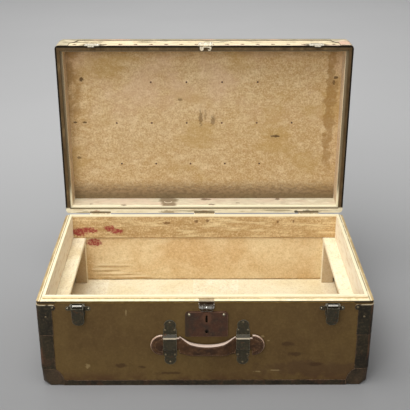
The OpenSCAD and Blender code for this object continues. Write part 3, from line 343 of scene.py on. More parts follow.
def lid_front(f, cloth):
    """Front of the lid, on top when it stands open: rubbed canvas painted pale as a painted
    highlight of the light overhead, cracked, rusty at its brads, with painted shadow beside the
    catches.
    """
    back = f.math("SUBTRACT", f.axis("Y"), LID_LOW[1])
    # Pale of rubbed canvas and painted highlight, as the lid's front looks when lit from above with
    # the lid open
    bare_and_lit = f.mottle(cloth.bare_and_lit, 0.012, "#bda589", "#f1e7cf", 0.5, (0.3, 1.6, 1))
    near = f.both(f.level(back, 0.016, 0.009), f.clouds(0.36, 0.56, 0.03, 4, (0.5, 1, 1), 5))
    bare_and_lit = f.tint(bare_and_lit, near, 0.75, "#c3a795")
    pitch = (BRADS_RIGHT - BRADS_LEFT) / BRAD_GAPS
    along = f.math("DIVIDE", f.math("SUBTRACT", f.axis("X"), BRADS_LEFT), pitch)
    along = f.math("SUBTRACT", f.math("FRACT", f.math("ADD", along, 10.5)), 0.5)
    rust = f.both(f.level(f.math("ABSOLUTE", along), 0.17, 0.09),
                  f.between(back, 0.012, 0.015, 0.024, 0.021), f.clouds(0.3, 0.5, 0.006, 3))
    bare_and_lit = f.tint(bare_and_lit, rust, 0.8, "#5c492f")
    fold = f.noise(0.011, 6, (0.13, 1, 1), 23, 0.62)
    crack = f.both(f.between(fold, 0.455, 0.485, 0.545, 0.515),
                   f.clouds(0.40, 0.52, 0.04, 4, (0.6, 1, 1), 31),
                   f.between(back, 0.030, 0.036, 0.056, 0.052))
    bare_and_lit = f.tint(bare_and_lit, crack, 0.8, "#564b35")
    # Rust and painted shadow about the lid's catches
    for x in (-0.264, 0.264):
        stain = f.spot((x, LID_LOW[1] + 0.012, LID_HIGH[2]), (0.034, 0.024, 0.03), 0.15, 0.008)
        bare_and_lit = f.tint(bare_and_lit, stain, 0.85, "#3f3423")
    # The lid's front face takes the painted highlight and the rubbed pale
    up = f.along("Z", LID_HIGH[2] - 3.0 * MM, LID_HIGH[2] - 1.5 * MM)
    f.paint = f.blend(up, f.paint, bare_and_lit)


def painted_canvas(cloth):
    """Canvas painted olive brown, scuffed, dirty along its foot, pale on the lid's front as rubbed
    canvas and painted highlight, and near black behind the lock plate as painted shade.
    """
    f = Finish("painted_canvas", 0.65, specular=0.12)
    threads = f.weave(cloth.weave)
    f.paint = f.blend(f.clouds(0.35, 0.68, 0.16, 5), cloth.canvas, "#594427")
    f.paint = f.mottle(f.paint, 0.020, "#4b381f", "#6e5a36", 0.22, (1, 1, 0.6), 3)
    f.paint = f.mottle(f.paint, 0.0045, "#44331b", "#77603c", 0.22, shift=9)
    f.coat(threads, 0.14, "#3a2c17")
    foot = f.both(f.along("Z", 0.040, 0.014), f.clouds(0.35, 0.6, 0.03, 6, shift=5))
    f.coat(foot, 0.7, "#4b3321")
    right_foot = f.spot((0.24, FRONT_Y, 0.042), (0.15, 0.05, 0.022), 0.5, 0.03)
    f.coat(right_foot, 0.5, "#473222")
    for place in ((-0.178, 0.049, 0.014, 0.007), (0.176, 0.103, 0.015, 0.007),
                  (0.192, 0.078, 0.020, 0.006), (0.235, 0.052, 0.022, 0.006),
                  (-0.135, 0.046, 0.010, 0.004), (-0.076, 0.030, 0.03, 0.004)):
        f.coat(f.patch(FRONT_Y, *place, 0.5), 0.6, "#3a2718")
    scuffs = [f.patch(FRONT_Y, *place, 0.5, 0.006) for place in (
        (-0.165, 0.181, 0.002, 0.008), (0.121, 0.122, 0.006, 0.003),
        (0.134, 0.112, 0.003, 0.002), (0.113, 0.034, 0.010, 0.002), (0.15, 0.037, 0.016, 0.002))]
    chip = f.patch(FRONT_Y, -0.2515, 0.049, 0.0050, 0.0065, 0.7, 0.009)
    f.coat(f.either(chip, *scuffs), 0.42, "#9c875f")
    # Painted shade: the canvas behind the lock plate is near black, so its keyhole and lower hole
    # look dark
    sides, ends = [f.between(f.axis(name), PLATE_LOW[i] + 3 * MM, PLATE_LOW[i] + 5 * MM,
                             PLATE_HIGH[i] - 3 * MM, PLATE_HIGH[i] - 5 * MM)
                   for name, i in (("X", 0), ("Z", 2))]
    f.coat(f.both(sides, ends, f.along("Y", 0.01, 0.0)), 0.95, "#0d0906")
    lid_front(f, cloth)
    f.relief(f.noise(0.09, 2, shift=1), 1.2 * MM)
    f.relief(threads, 0.22 * MM)
    return f.done(f.gloss(0.52, 0.72, 0.03, 4, shift=8))


def cotton(name, cloth, base, shade, light, strength=0.5, along=(0.8, 0.8, 1.2)):
    """Old cotton lining: fine weave, streaky grain along its length and soft blotches."""
    f = Finish(name, 0.9, sheen=0.1, specular=0.12)
    threads = f.weave(cloth.weave * 0.8)
    f.paint = f.blend(f.clouds(0.36, 0.68, 0.12, 5, warp=0.4), base, shade)
    f.paint = f.mottle(f.paint, 0.026, shade, light, 0.6 * strength, along, 4)
    f.paint = f.mottle(f.paint, 0.0080, "#a88253", light, 0.7 * strength, along, 6)
    f.paint = f.mottle(f.paint, 0.0036, "#94703f", light, strength, (1, 1, 1), 15)
    specks = f.clouds(0.76, 0.81, 0.006, 1, shift=25)
    f.coat(specks, 0.5, "#7d5430")
    f.relief(f.noise(0.05, 3, shift=2), 0.8 * MM)
    f.relief(threads, 0.15 * MM)
    return f


def red_stain(f, cloth, spots):
    """Red stains on the back wall, as [x, z, half width, half height]."""
    stain = f.either(*[f.patch(WALL_HIGH[1], *spot, 0.34, 0.009) for spot in spots])
    inside = f.level(f.noise(0.005, 4, shift=31), 0.36, 0.56, 0.55, 0.95)
    f.paint = f.blend(f.both(stain, inside), f.paint, cloth.stain)


def wall_cotton(cloth):
    """Lining of the walls: a red stain, folds at the back's left end with painted shade in their
    creases and painted highlights on their ridges, and painted shade along the walls' foot.
    """
    f = cotton("wall_cotton", cloth, cloth.wall, "#cba978", "#f0dcb4", 0.3)
    # Painted shade along the foot of the walls, where they meet the floor
    low = f.both(f.along("Z", FLOOR_TOP + 4 * MM, FLOOR_TOP + 1 * MM),
                 f.clouds(0.3, 0.5, 0.05, 3, shift=2))
    f.coat(low, 0.6, "#6b4a28")
    seam = f.along("Z", WALL_HIGH[2] - 2.5 * MM, WALL_HIGH[2] - 1 * MM)
    f.coat(seam, 0.5, "#9a7040")
    # Painted highlight along the top of each fold and painted shade in the crease below it
    for x, z, wide in ((-0.235, 0.0675, 0.06), (-0.255, 0.0545, 0.05), (-0.22, 0.0425, 0.075),
                       (-0.19, 0.0335, 0.09)):
        ridge_highlight = f.patch(WALL_HIGH[1], x, z + 0.006, wide * 0.9, 0.004, 0.3, 0.02)
        f.coat(ridge_highlight, 0.4, "#f4e3bd")
        crease_shade = f.patch(WALL_HIGH[1], x, z, wide, 0.0035, 0.3, 0.02)
        f.coat(crease_shade, 0.5, "#a17a49")
    red_stain(f, cloth, [(-0.281, 0.137, 0.024, 0.014)])
    return f.done()


def collar_cotton(cloth):
    """Lining of the collar: pale at its top fold, painted paler on its sides as they look lit,
    yellow streaks at the back.
    """
    f = cotton("collar_cotton", cloth, "#bf9f70", "#ac8b5c", "#e6d0a2", 0.55, (0.5, 0.5, 1.6))
    streaks = f.both(f.clouds(0.50, 0.62, 0.016, 6, (0.3, 1, 1.8), 7, warp=0.5),
                     f.along("Z", RIM_Z + 2 * MM, RIM_Z - 10 * MM))
    f.coat(streaks, 0.35, "#a07c46")
    ridges = f.clouds(0.55, 0.64, 0.018, 5, (0.2, 1, 1.6), 27)
    f.coat(ridges, 0.4, "#efdcae")
    # Painted light: the side faces are near white, paler than the back, as they look in the light
    sides = f.either(f.facing((1, 0, 0)), f.facing((-1, 0, 0)))
    pale = f.mottle("#fbf0d6", 0.010, "#d3b184", "#fff8e6", 0.5, (1, 0.3, 1.5), 17)
    f.coat(sides, 0.95, pale)
    top = f.along("Z", RIM_Z + 1 * MM, RIM_Z + 4 * MM)
    f.coat(top, 0.9, "#f1e6c4")
    seam = f.along("Z", WALL_HIGH[2] + 3 * MM, WALL_HIGH[2] + 1 * MM)
    f.coat(seam, 0.55, "#8f6a3c")
    for place in ((-0.021, 0.197, 0.006), (0.008, 0.199, 0.006), (-0.095, 0.193, 0.012),
                  (0.186, 0.196, 0.004), (0.225, 0.197, 0.004)):
        f.coat(f.patch(WALL_HIGH[1], *place, 0.005, 0.4, 0.004), 0.75, "#6a4524")
    red_stain(f, cloth, [(-0.316, 0.168, 0.024, 0.016), (-0.292, 0.174, 0.026, 0.011),
                         (-0.240, 0.178, 0.021, 0.011), (-0.224, 0.170, 0.020, 0.010)])
    return f.done()


def floor_cotton(cloth):
    """Lining of the floor, the palest of the inside, pieced from paler and darker cloth."""
    f = cotton("floor_cotton", cloth, cloth.lining, "#e9ddb8", "#fdfaea", 0.3, (1, 1, 1))
    flat = f.vector("MULTIPLY", f.place, (1, 0.8, 0))
    cells = f.add("ShaderNodeTexVoronoi", {"Vector": flat, "Scale": 9.0, "Randomness": 0.55},
                  distance="CHEBYCHEV").outputs["Color"]
    pieces = f.add("ShaderNodeSeparateColor", {0: cells}).outputs[0]
    f.coat(f.level(pieces, 0.47, 0.53), 0.3, "#d9c795")
    f.coat(f.outward("X", 0.25, 0.34), 0.3, "#dcc394")
    return f.done()


def covered_wood(cloth):
    """Cloth pasted over the tray rails and their posts, with painted shade on the posts' fronts."""
    f = cotton("covered_wood", cloth, "#f3e9ca", "#e2d1a8", "#fcf6e0", 0.3, (1, 0.3, 1))
    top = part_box("rail_posts")[1][2]
    # Painted shade on the forward faces of the posts, below the rails
    post_front_shade = f.both(f.outward("Y", 0.1, 0.12), f.along("Z", top + 1 * MM, top - 4 * MM),
                   f.facing(FORWARD))
    f.coat(post_front_shade, 0.6, "#977347")
    knocks = f.clouds(0.62, 0.78, 0.012, 5, stretch=(1, 0.4, 1), shift=11)
    f.coat(knocks, 0.3, "#b08a5a")
    return f.done()


def liner_cloth(cloth):
    """Cloth over the lid's liner boards: tan inside, pale below and at its folds, stained, with
    painted shade on the fronts of its sides and top.
    """
    f = cotton("liner_cloth", cloth, "#cbb08a", "#b7956b", "#ead9b4", 0.5, (1, 1, 0.4))
    lower = f.along("Z", LID_LOW[2] + 26 * MM, LID_LOW[2] + 17 * MM)
    ledge = f.mottle("#d8ccae", 0.012, "#b3a085", "#f2e9d0", 0.55, (0.5, 1, 1), 12)
    pink = f.clouds(0.46, 0.62, 0.06, 4, (0.4, 1, 1), 16)
    ledge = f.tint(ledge, pink, 0.5, "#dcbfa6")
    f.paint = f.blend(lower, f.paint, ledge)
    fold = f.along("Y", LINER_LOW[1] + 7 * MM, LINER_LOW[1] + 4 * MM)
    f.coat(fold, 0.9, "#f6ecca")
    # Painted shade: the front faces along the sides and the top are dark brown, for the shadow of
    # the gap between the lid's wall and its liner
    front = f.facing(FORWARD)
    side = f.outward("X", LINER_HIGH[0] - 8 * MM, LINER_HIGH[0] - 6 * MM)
    top = f.along("Z", LINER_HIGH[2] - 7 * MM, LINER_HIGH[2] - 5 * MM)
    high = f.along("Z", LID_LOW[2] + 0.03, LID_LOW[2] + 0.08)
    outer = f.either(f.both(side, high), top)
    f.coat(f.both(front, outer), 0.9, "#5f4c33")
    away = f.vector("MULTIPLY", f.vector("SUBTRACT", f.place, (-0.093, 0.256, 0)), (1, 1, 0))
    far = f.add("ShaderNodeVectorMath", {0: away}, operation="LENGTH").outputs["Value"]
    print_mark = f.either(f.spot((-0.093, 0.262, LID_LOW[2] + 0.015), (0.030, 0.026, 0.03), 0.2),
                          f.spot((-0.091, 0.236, LID_LOW[2] + 0.015), (0.024, 0.030, 0.03), 0.2))
    arc = f.both(f.between(far, 0.0080, 0.0090, 0.0112, 0.0102), f.along("Y", 0.257, 0.252))
    upward = f.facing(UP)
    f.coat(f.both(print_mark, upward), 0.9, "#846f50")
    f.coat(f.both(arc, upward), 0.95, "#f6ecd0")
    for x, y, wide, deep in ((-0.205, 0.232, 0.008, 0.005), (0.005, 0.268, 0.016, 0.007),
                             (0.018, 0.236, 0.010, 0.005), (0.190, 0.270, 0.008, 0.008),
                             (-0.29, 0.240, 0.006, 0.003), (0.085, 0.245, 0.008, 0.003)):
        mark = f.spot((x, y, LID_LOW[2] + 0.015), (wide, deep, 0.03), 0.4, 0.006)
        f.coat(f.both(mark, upward), 0.8, "#6d5436")
    return f.done()


def panel_cotton(cloth):
    """Lining of the lid's panel: faded, with stains along both sides and its foot."""
    f = cotton("panel_cotton", cloth, cloth.panel, "#b8996a", "#dfc9a2", 0.55, (0.7, 1, 1.2))
    yellow = f.clouds(0.50, 0.66, 0.10, 5, (0.7, 1, 1.4), 21)
    f.coat(yellow, 0.45, "#ab8a4c")
    rosy = f.both(f.clouds(0.45, 0.6, 0.14, 4, shift=41), f.along("Z", 0.40, 0.52))
    f.coat(rosy, 0.4, "#c6a68a")
    ragged = f.math("MULTIPLY", f.math("SUBTRACT", f.noise(0.02, 6, shift=3), 0.5), 0.06)
    place = f.math("ADD", f.axis("X"), ragged)
    stripe = f.both(f.between(place, 0.299, 0.304, 0.326, 0.318), f.along("Z", 0.27, 0.36))
    left = f.both(f.level(place, -0.288, -0.318), f.clouds(0.36, 0.55, 0.022, 6, shift=33),
                  f.along("Z", 0.40, 0.47))
    f.coat(stripe, 0.6, "#8d6a38")
    f.coat(left, 0.6, "#8d6a38")
    foot = f.along("Z", PANEL_LOW[2] + 0.062, PANEL_LOW[2] + 0.02)
    lines = f.clouds(0.44, 0.60, 0.008, 4, (0.7, 1, 1.3), 5)
    f.coat(foot, 0.85, "#816a4d")
    f.coat(f.both(foot, lines), 0.5, "#604c37")
    olive = f.along("Z", PANEL_LOW[2] + 0.024, PANEL_LOW[2] + 0.012)
    f.coat(olive, 0.6, "#6b5c3f")
    head = f.both(f.along("Z", PANEL_HIGH[2] - 0.05, PANEL_HIGH[2] - 0.015),
                  f.clouds(0.34, 0.62, 0.035, 6, shift=3))
    f.coat(head, 0.4, "#9a7a4c")
    for *place, dark in (
            (-0.301, 0.545, 0.006, 0.007, 0.85), (-0.322, 0.434, 0.006, 0.003, 0.8),
            (-0.300, 0.434, 0.007, 0.003, 0.8), (0.181, 0.397, 0.010, 0.002, 0.7),
            (-0.009, 0.444, 0.006, 0.024, 0.5), (0.003, 0.452, 0.004, 0.018, 0.3),
            (0.022, 0.440, 0.007, 0.014, 0.45), (-0.060, 0.493, 0.008, 0.004, 0.5),
            (0.178, 0.397, 0.014, 0.004, 0.7), (0.322, 0.548, 0.007, 0.005, 0.8),
            (0.318, 0.536, 0.004, 0.008, 0.6), (-0.318, 0.340, 0.006, 0.004, 0.6)):
        f.coat(f.patch(PANEL_LOW[1], *place, 0.45, 0.005), dark, "#4a3119")
    return f.done()


def body_rim_cloth(cloth):
    """Cloth bound over the body's rim: pale on top, brown down the front, dark line, and a painted
    shadow line in the groove of the side rims.
    """
    f = Finish("body_rim_cloth", 0.85, specular=0.1)
    top = f.mottle("#eddfb9", 0.012, "#cdb487", "#faf2d8", 0.45, (1, 0.3, 1))
    out = f.math("SUBTRACT", f.aside(), CANVAS_HIGH[0])
    outer = f.level(out, -6 * MM, -3 * MM)
    rubbed = f.mottle("#a98f62", 0.012, "#7a6238", "#d8c193", 0.7, (1, 0.4, 1), 5)
    top = f.tint(top, outer, 0.9, rubbed)
    # Painted shadow: a dark line in the groove inside the side rims' outer band
    groove_shade = f.both(f.between(out, -9 * MM, -8 * MM, -6 * MM, -7 * MM),
                    f.clouds(0.36, 0.5, 0.03, 4, (1, 0.5, 1), 6))
    top = f.tint(top, groove_shade, 0.7, "#4d3d22")
    lap = f.mottle("#6a5127", 0.010, "#453415", "#8c7140", 0.5)
    edge = f.along("Z", RIM_Z - 1.6 * MM, RIM_Z - 0.9 * MM)
    lap = f.tint(lap, edge, 0.9, "#2c2110")
    corner = f.outward("X", CANVAS_HIGH[0] - 42 * MM, CANVAS_HIGH[0] - 38 * MM)
    lap = f.tint(lap, corner, 0.85, "#28221a")
    f.paint = f.blend(f.facing(UP), lap, top)
    front = f.along("Y", CANVAS_LOW[1] + 2.2 * MM, CANVAS_LOW[1] + 1.0 * MM)
    f.coat(f.both(front, f.facing(UP)), 0.85, "#33281a")
    f.relief(f.weave(cloth.weave * 0.7), 0.15 * MM)
    return f.done()


def lid_rim_cloth(cloth):
    """Cloth bound over the lid's rim: brown with a black outer edge, worn pale by the hinges."""
    f = Finish("lid_rim_cloth", 0.85, specular=0.08)
    f.paint = f.mottle("#57452e", 0.014, "#3b2d1b", "#7b6747", 0.6, (1, 1, 0.4))
    side = f.math("SUBTRACT", f.aside(), LID_HIGH[0])
    top = f.math("SUBTRACT", f.axis("Z"), LID_HIGH[2])
    edge = f.level(f.either(side, top), -4.2 * MM, -2.6 * MM)
    f.coat(edge, 0.95, "#17120b")
    low = f.along("Z", LID_LOW[2] + 16 * MM, LID_LOW[2] + 10 * MM)
    pale = f.mottle("#eadfc0", 0.010, "#c4ab85", "#f8f0d8", 0.5, (0.3, 1, 1))
    cracks = f.clouds(0.56, 0.62, 0.008, 4, (0.12, 1, 1.4), 13)
    pale = f.tint(pale, cracks, 0.6, "#7d6c47")
    for x, wide, dark, code in ((-0.276, 0.014, 0.6, "#a9714a"), (0.233, 0.006, 0.9, "#2e2417"),
                                (0.262, 0.018, 0.7, "#4a3c28"), (0.0, 0.016, 0.6, "#9a7459"),
                                (-0.093, 0.022, 0.7, "#8f7c5b")):
        mark = f.patch(LID_LOW[1] + 0.001, x, LID_LOW[2] + 0.002, wide, 0.006, 0.4, 0.008)
        pale = f.tint(pale, mark, dark, code)
    f.coat(low, 0.95, pale)
    f.relief(f.weave(cloth.weave * 0.7), 0.15 * MM)
    return f.done()


# Finishes of the trim

def fibre(name, base_colour, edge_code, glow):
    """Vulcanised fibre: dark, dull, rubbed brown at its edges and in patches, and pale on the lid's
    top faces as a painted highlight.
    """
    f = Finish(name, 0.55, specular=0.18)
    f.paint = f.blend(f.clouds(0.36, 0.7, 0.045, 6, shift=2), base_colour, "#1f1a13")
    rubs = f.clouds(0.52, 0.68, 0.020, 6, stretch=(1, 1, 0.5), shift=6)
    f.coat(rubs, glow, edge_code)
    f.paint = f.mottle(f.paint, 0.005, "#18140e", "#574936", 0.35, shift=14)
    edges = f.both(f.worn_edges(1.8 * MM), f.clouds(0.35, 0.55, 0.01, 4, shift=1))
    f.coat(edges, 0.75, "#94745a")
    streaks = f.both(f.outward("X", CANVAS_HIGH[0] - 7 * MM, CANVAS_HIGH[0]),
                     f.facing(FORWARD, 0.3, 0.8), f.clouds(0.46, 0.60, 0.010, 5, (1, 1, 0.25), 28))
    f.coat(streaks, 0.6, "#6e4a36")
    crest = f.between(f.axis("Z"), 0.1984, 0.1996, 0.21, 0.205)
    f.coat(f.both(crest, f.clouds(0.35, 0.5, 0.01, 3)), 0.8, "#b9aa8c")
    # Painted highlight: the lid's top faces are pale and pinkish, with darker rubbed edges, as the
    # light overhead shows them
    pale = f.mottle("#b7aa8b", 0.012, "#6f6a4f", "#e6d8ba", 0.75, (0.5, 1, 1), 8)
    pink = f.clouds(0.50, 0.62, 0.045, 4, (0.6, 1, 1), 18)
    pale = f.tint(pale, pink, 0.75, "#e3b79f")
    lit_lid_top = f.both(f.facing(UP), f.along("Z", LID_HIGH[2] - 3 * MM, LID_HIGH[2]))
    back = f.along("Y", LID_HIGH[1] - 7 * MM, LID_HIGH[1] - 3 * MM)
    pale = f.tint(pale, back, 0.8, "#6f6a52")
    pale = f.tint(pale, f.worn_edges(1.4 * MM), 0.7, "#54422f")
    f.coat(lit_lid_top, 0.92, pale)
    f.relief(f.noise(0.008, 5, shift=3), 0.35 * MM)
    return f.done(f.gloss(0.45, 0.68, 0.02, 3, shift=5))


def saddle_leather(trim):
    """Brown leather of the handle: fine grain, pale edges that are rubbed and painted highlight, a
    painted highlight along its upper front edge and on the upper outline of its round ends, and a
    dark line round its ends.
    """
    f = Finish("saddle_leather", 0.5, specular=0.22)
    f.paint = f.blend(f.clouds(0.35, 0.7, 0.02, 6), trim.leather, "#322012")
    f.paint = f.mottle(f.paint, 0.005, "#26170d", "#6c4d34", 0.4, (0.6, 1, 1), 4)
    # Pale edges: rubbed leather and painted highlight
    edges = f.both(f.worn_edges(2.4 * MM, 0.01, 0.12), f.clouds(0.3, 0.45, 0.02, 4, shift=7))
    f.coat(edges, 0.7, "#b8967b")
    # Painted highlight on the upper outline of the round ends
    out = f.math("ABSOLUTE", f.math("SUBTRACT", f.axis("X"), HANDLE_X))
    across = f.math("SUBTRACT", out, HANDLE_HALF - LUG)
    up = f.math("SUBTRACT", f.axis("Z"), HANDLE_Z)
    far = f.math("POWER", f.math("ADD", f.both(across, across), f.both(up, up)), 0.5)
    end = f.level(out, 0.085, 0.088)
    rim = f.both(f.level(far, LUG - 2.6 * MM, LUG - 1.2 * MM), end,
                 f.clouds(0.34, 0.5, 0.012, 4, shift=12), f.level(up, -8 * MM, 6 * MM, 0.25, 1.0))
    f.coat(rim, 0.75, "#c2a189")
    seat = f.between(far, LUG - 4.6 * MM, LUG - 3.4 * MM, LUG - 2.4 * MM, LUG - 3.0 * MM)
    f.coat(f.both(seat, end), 0.6, "#1c110a")
    # Painted highlight along the upper front edge, where the light overhead falls
    f.coat(f.facing((0, -0.35, 0.937), 0.74, 0.94), 0.85, "#c8b3a3")
    grain = f.add("ShaderNodeTexVoronoi", {"Vector": f.place, "Scale": 900},
                  feature="DISTANCE_TO_EDGE").outputs["Distance"]
    f.relief(f.noise(0.006, 4, shift=2), 0.35 * MM)
    f.relief(f.level(grain, 0.0, 0.25), 0.12 * MM)
    return f.done(f.gloss(0.36, 0.6, 0.015, 4, shift=9))


def linen_thread(trim):
    f = Finish("linen_thread", 0.8)
    f.paint = f.blend(f.clouds(0.4, 0.6, 0.004, 3), trim.thread, "#5f4132")
    return f.done()


# Finishes of the metal

def nickel_plate(metal):
    """Nickel plate gone dull, with brown tarnish in its pits."""
    f = Finish("nickel_plate", 0.3, metallic=1.0)
    tarnish = f.clouds(0.52, 0.70, 0.006, 5)
    f.paint = f.tint(metal.nickel, tarnish, 0.8, "#6a5c48")
    pits = f.clouds(0.62, 0.72, 0.0016, 3, shift=5)
    f.coat(pits, 0.6, "#4a3a2a")
    f.relief(f.noise(0.004, 4, shift=2), 0.10 * MM)
    return f.done(f.level(tarnish, 0.0, 1.0, 0.24, 0.5))


def tarnished_nickel(metal, name, face, bright_row=False):
    """Nickel gone brown on its faces, bright along its worn edges, with a painted highlight on its
    top faces and, if asked, a bright band painted across the keep's teeth.
    """
    f = Finish(name, 0.35, metallic=1.0)
    f.paint = f.mottle(face, 0.004, "#241f17", "#857b66", 0.5)
    edges = f.both(f.worn_edges(1.0 * MM, 0.01, 0.12), f.clouds(0.3, 0.45, 0.006, 3, shift=7))
    # Worn edges, and a painted highlight on the top faces
    bright = f.either(f.part(edges, 0.95), f.part(f.facing(UP), 0.7))
    # A bright band painted across the keep's row of teeth
    if bright_row:
        row = f.both(f.between(f.axis("Z"), 0.1930, 0.1945, 0.2000, 0.1985),
                     f.clouds(0.34, 0.46, 0.003, 3, (1, 1, 0.3), 5))
        bright = f.either(bright, f.part(row, 0.7))
    f.paint = f.blend(bright, f.paint, metal.bright)
    f.relief(f.noise(0.004, 4, shift=2), 0.10 * MM)
    return f.done(f.level(bright, 0.0, 1.0, 0.5, 0.25))


def rubbed_nickel(name, face):
    """Thin old plate rubbed to a pale, almost matt grey, with dirt in its pits."""
    f = Finish(name, 0.5, metallic=0.4)
    f.paint = f.mottle(face, 0.004, "#7d6f58", "#f4ecd8", 0.6)
    f.coat(f.worn_edges(0.7 * MM, 0.02, 0.2), 0.5, "#5b4d38")
    f.relief(f.noise(0.004, 4, shift=2), 0.10 * MM)
    return f.done()


def rivet_metal():
    """Rivets: bright on the lock plate and the latches, rusted dull elsewhere."""
    f = Finish("rivet_metal", 0.4, metallic=0.8)
    lock = f.outward("X", 0.055, 0.05)
    latches = f.between(f.aside(), 0.22, 0.23, 0.305, 0.3)
    bright = f.both(f.along("Z", 0.174, 0.178), f.along("Y", 0.01, 0.0), f.either(lock, latches))
    dull = f.mottle("#6b5f49", 0.003, "#3c3223", "#9a8d70", 0.6)
    f.paint = f.blend(bright, dull, "#938973")
    return f.done(f.level(bright, 0.0, 1.0, 0.6, 0.25))


def enamelled_iron(metal, name, base_colour, edge_wear_and_glint_code, patch, grain=0.28):
    """Enamel worn to rust, and at the edges to the iron beneath, whose pale there is also a painted
    highlight.
    """
    f = Finish(name, 0.45, specular=0.25)
    f.paint = f.tint(base_colour, f.clouds(0.4, 0.7, 0.02, 5), 0.6, "#29251e")
    rust = f.clouds(0.58, 0.68, 0.007, 6, shift=3)
    f.coat(rust, patch, metal.rust)
    f.paint = f.mottle(f.paint, 0.004, "#1d1810", "#6b5d43", grain, shift=9)
    # Edges: rubbed iron and painted highlight
    edges = f.both(f.worn_edges(1.3 * MM, 0.01, 0.18), f.clouds(0.32, 0.5, 0.004, 4, shift=7))
    f.coat(edges, 0.8, edge_wear_and_glint_code)
    f.relief(f.noise(0.003, 5, shift=6), 0.12 * MM)
    return f, rust


def black_iron(metal):
    """Iron of the latches and the handle's loops, with a painted highlight on the loops' upward
    faces.
    """
    f, rust = enamelled_iron(metal, "black_iron", metal.iron, "#8f8a78", 0.4)
    # Painted highlight on the upward faces of the loops' outer part
    upward = f.both(f.facing(UP), f.along("Z", 0.165, 0.150))
    outer = f.along("Y", FRONT_Y - 8.2 * MM, FRONT_Y - 9.4 * MM)
    f.coat(f.both(upward, outer), 0.85, "#d9c8ab")
    return f.done(f.level(rust, 0.0, 1.0, 0.42, 0.75))


def lock_enamel(metal):
    """Lock plate: brown enamel, rubbed to reddish brown about the keyhole, with painted shade at
    its keyhole and lower hole.
    """
    f, rust = enamelled_iron(metal, "lock_enamel", metal.lock, "#80604a", 0.06, 0.14)
    x = (PLATE_LOW[0] + PLATE_HIGH[0]) / 2
    y = PLATE_LOW[1]
    f.coat(f.patch(y, x, 0.172, 0.012, 0.020, 0.25, 0.012), 0.4, "#664430")
    # Painted shade at the lower hole and the keyhole
    f.coat(f.patch(y, x + 0.0005, 0.1385, 0.0055, 0.0062, 0.15, 0.006), 0.85, "#17110b")
    keyhole = f.patch(y, x, PLATE_HIGH[2] - 17 * MM, 0.0030, 0.0105, 0.05, 0.006)
    f.coat(keyhole, 0.9, "#120c07")
    dark = f.along("X", PLATE_LOW[0] + 12 * MM, PLATE_LOW[0] + 5 * MM)
    f.coat(dark, 0.7, "#33291c")
    return f.done(f.level(rust, 0.0, 1.0, 0.45, 0.7))


def rusty_tack(metal):
    f = Finish("rusty_tack", 0.6)
    f.paint = f.blend(f.clouds(0.4, 0.6, 0.002, 4), "#2e2117", metal.rust)
    return f.done()


def dull_brass(metal):
    f = Finish("dull_brass", 0.35, metallic=1.0)
    f.paint = f.blend(f.clouds(0.45, 0.7, 0.005, 5), metal.brass, "#2a2012")
    return f.done(f.gloss(0.3, 0.5, 0.01, 3, shift=2))


def sawn_pine():
    """Dry pine boards, grain along their length, darker on the lid's rebate with dark stain and
    painted shade.
    """
    f = Finish("sawn_pine", 0.75)
    rings = f.noise(0.02, 4, stretch=(0.08, 0.08, 1), warp=0.6)
    f.paint = f.blend(f.level(rings, 0.35, 0.65), "#b08a5c", "#8a6338")
    # Dark stain and painted shade on the rebate, where the lid's boards stand out beyond its liner
    rebate_stain_and_shade = f.both(f.along("Y", LINER_LOW[1] + 4 * MM, LINER_LOW[1] + 1 * MM),
                   f.along("Z", LID_LOW[2] - 1 * MM, LID_LOW[2]))
    f.coat(rebate_stain_and_shade, 0.85, "#645c40")
    f.relief(rings, 0.2 * MM)
    return f.done()


# Ways to dress a node of the frame

def paint_nodes(material, *names):
    """Gives the named nodes of the frame a finish."""
    for name in names:
        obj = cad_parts[name]
        obj.data.materials.clear()
        obj.data.materials.append(material)


def soften(names, width):
    """Rounds the sharp edges of nodes, as handling and paint do."""
    for name in names:
        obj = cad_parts[name]
        weld = obj.modifiers.new("weld", "WELD")
        weld.merge_threshold = 0.002 * MM
        bevel = obj.modifiers.new("edges", "BEVEL")
        bevel.width = width
        bevel.segments = 2
        bevel.limit_method = "ANGLE"
        bevel.angle_limit = SHARP_ANGLE
        bevel.harden_normals = True


def new_object(name, data):
    obj = bpy.data.objects.new(name, data)
    bpy.context.scene.collection.objects.link(obj)
    return obj


def add_piece(name, vertices, faces, material, body):
    """A new smooth mesh piece that rides on a body."""
    mesh = bpy.data.meshes.new(name)
    mesh.from_pydata([tuple(v) for v in vertices], [], faces)
    mesh.validate()
    mesh.update()
    work = bmesh.new()
    work.from_mesh(mesh)
    bmesh.ops.recalc_face_normals(work, faces=work.faces)
    work.to_mesh(mesh)
    work.free()
    obj = new_object(name, mesh)
    mesh.materials.append(material)
    mesh.shade_smooth()
    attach(obj, body)
    return obj


def smooth_step(t):
    t = min(1.0, max(0.0, t))
    return t * t * (3 - 2 * t)


def bulge(value, centre, half):
    """Smooth hump, 1 at its centre and 0 at half away."""
    return smooth_step(1 - abs(value - centre) / half)


# Cloth on the walls

# Creases: height on the wall, half thickness, middle and half length; how they sway and climb
CREASES = ((0.078, 0.006, -0.23, 0.09), (0.062, 0.007, -0.245, 0.08),
           (0.050, 0.006, -0.20, 0.12), (0.041, 0.005, -0.16, 0.15))
SWAY, SWAY_TURNS, SLOPE = 10 * MM, 14, 0.05


def wall_folds(x, z, cloth):
    """Height of the back wall's lining off its board: long low creases at its left foot."""
    height = 0.0
    for level, thick, middle, reach in CREASES:
        line = level + SWAY * math.sin(SWAY_TURNS * (x - middle)) + SLOPE * (x - middle)
        height += bulge(z, line, thick) * bulge(x, middle, reach)
    return cloth.fold * min(1.0, height)


def wavy(x, y, scale, seed):
    """Smooth noise from -1 to 1 over a wall."""
    return noise.noise(Vector((x / scale + seed, y / scale - seed, seed * 0.37)))


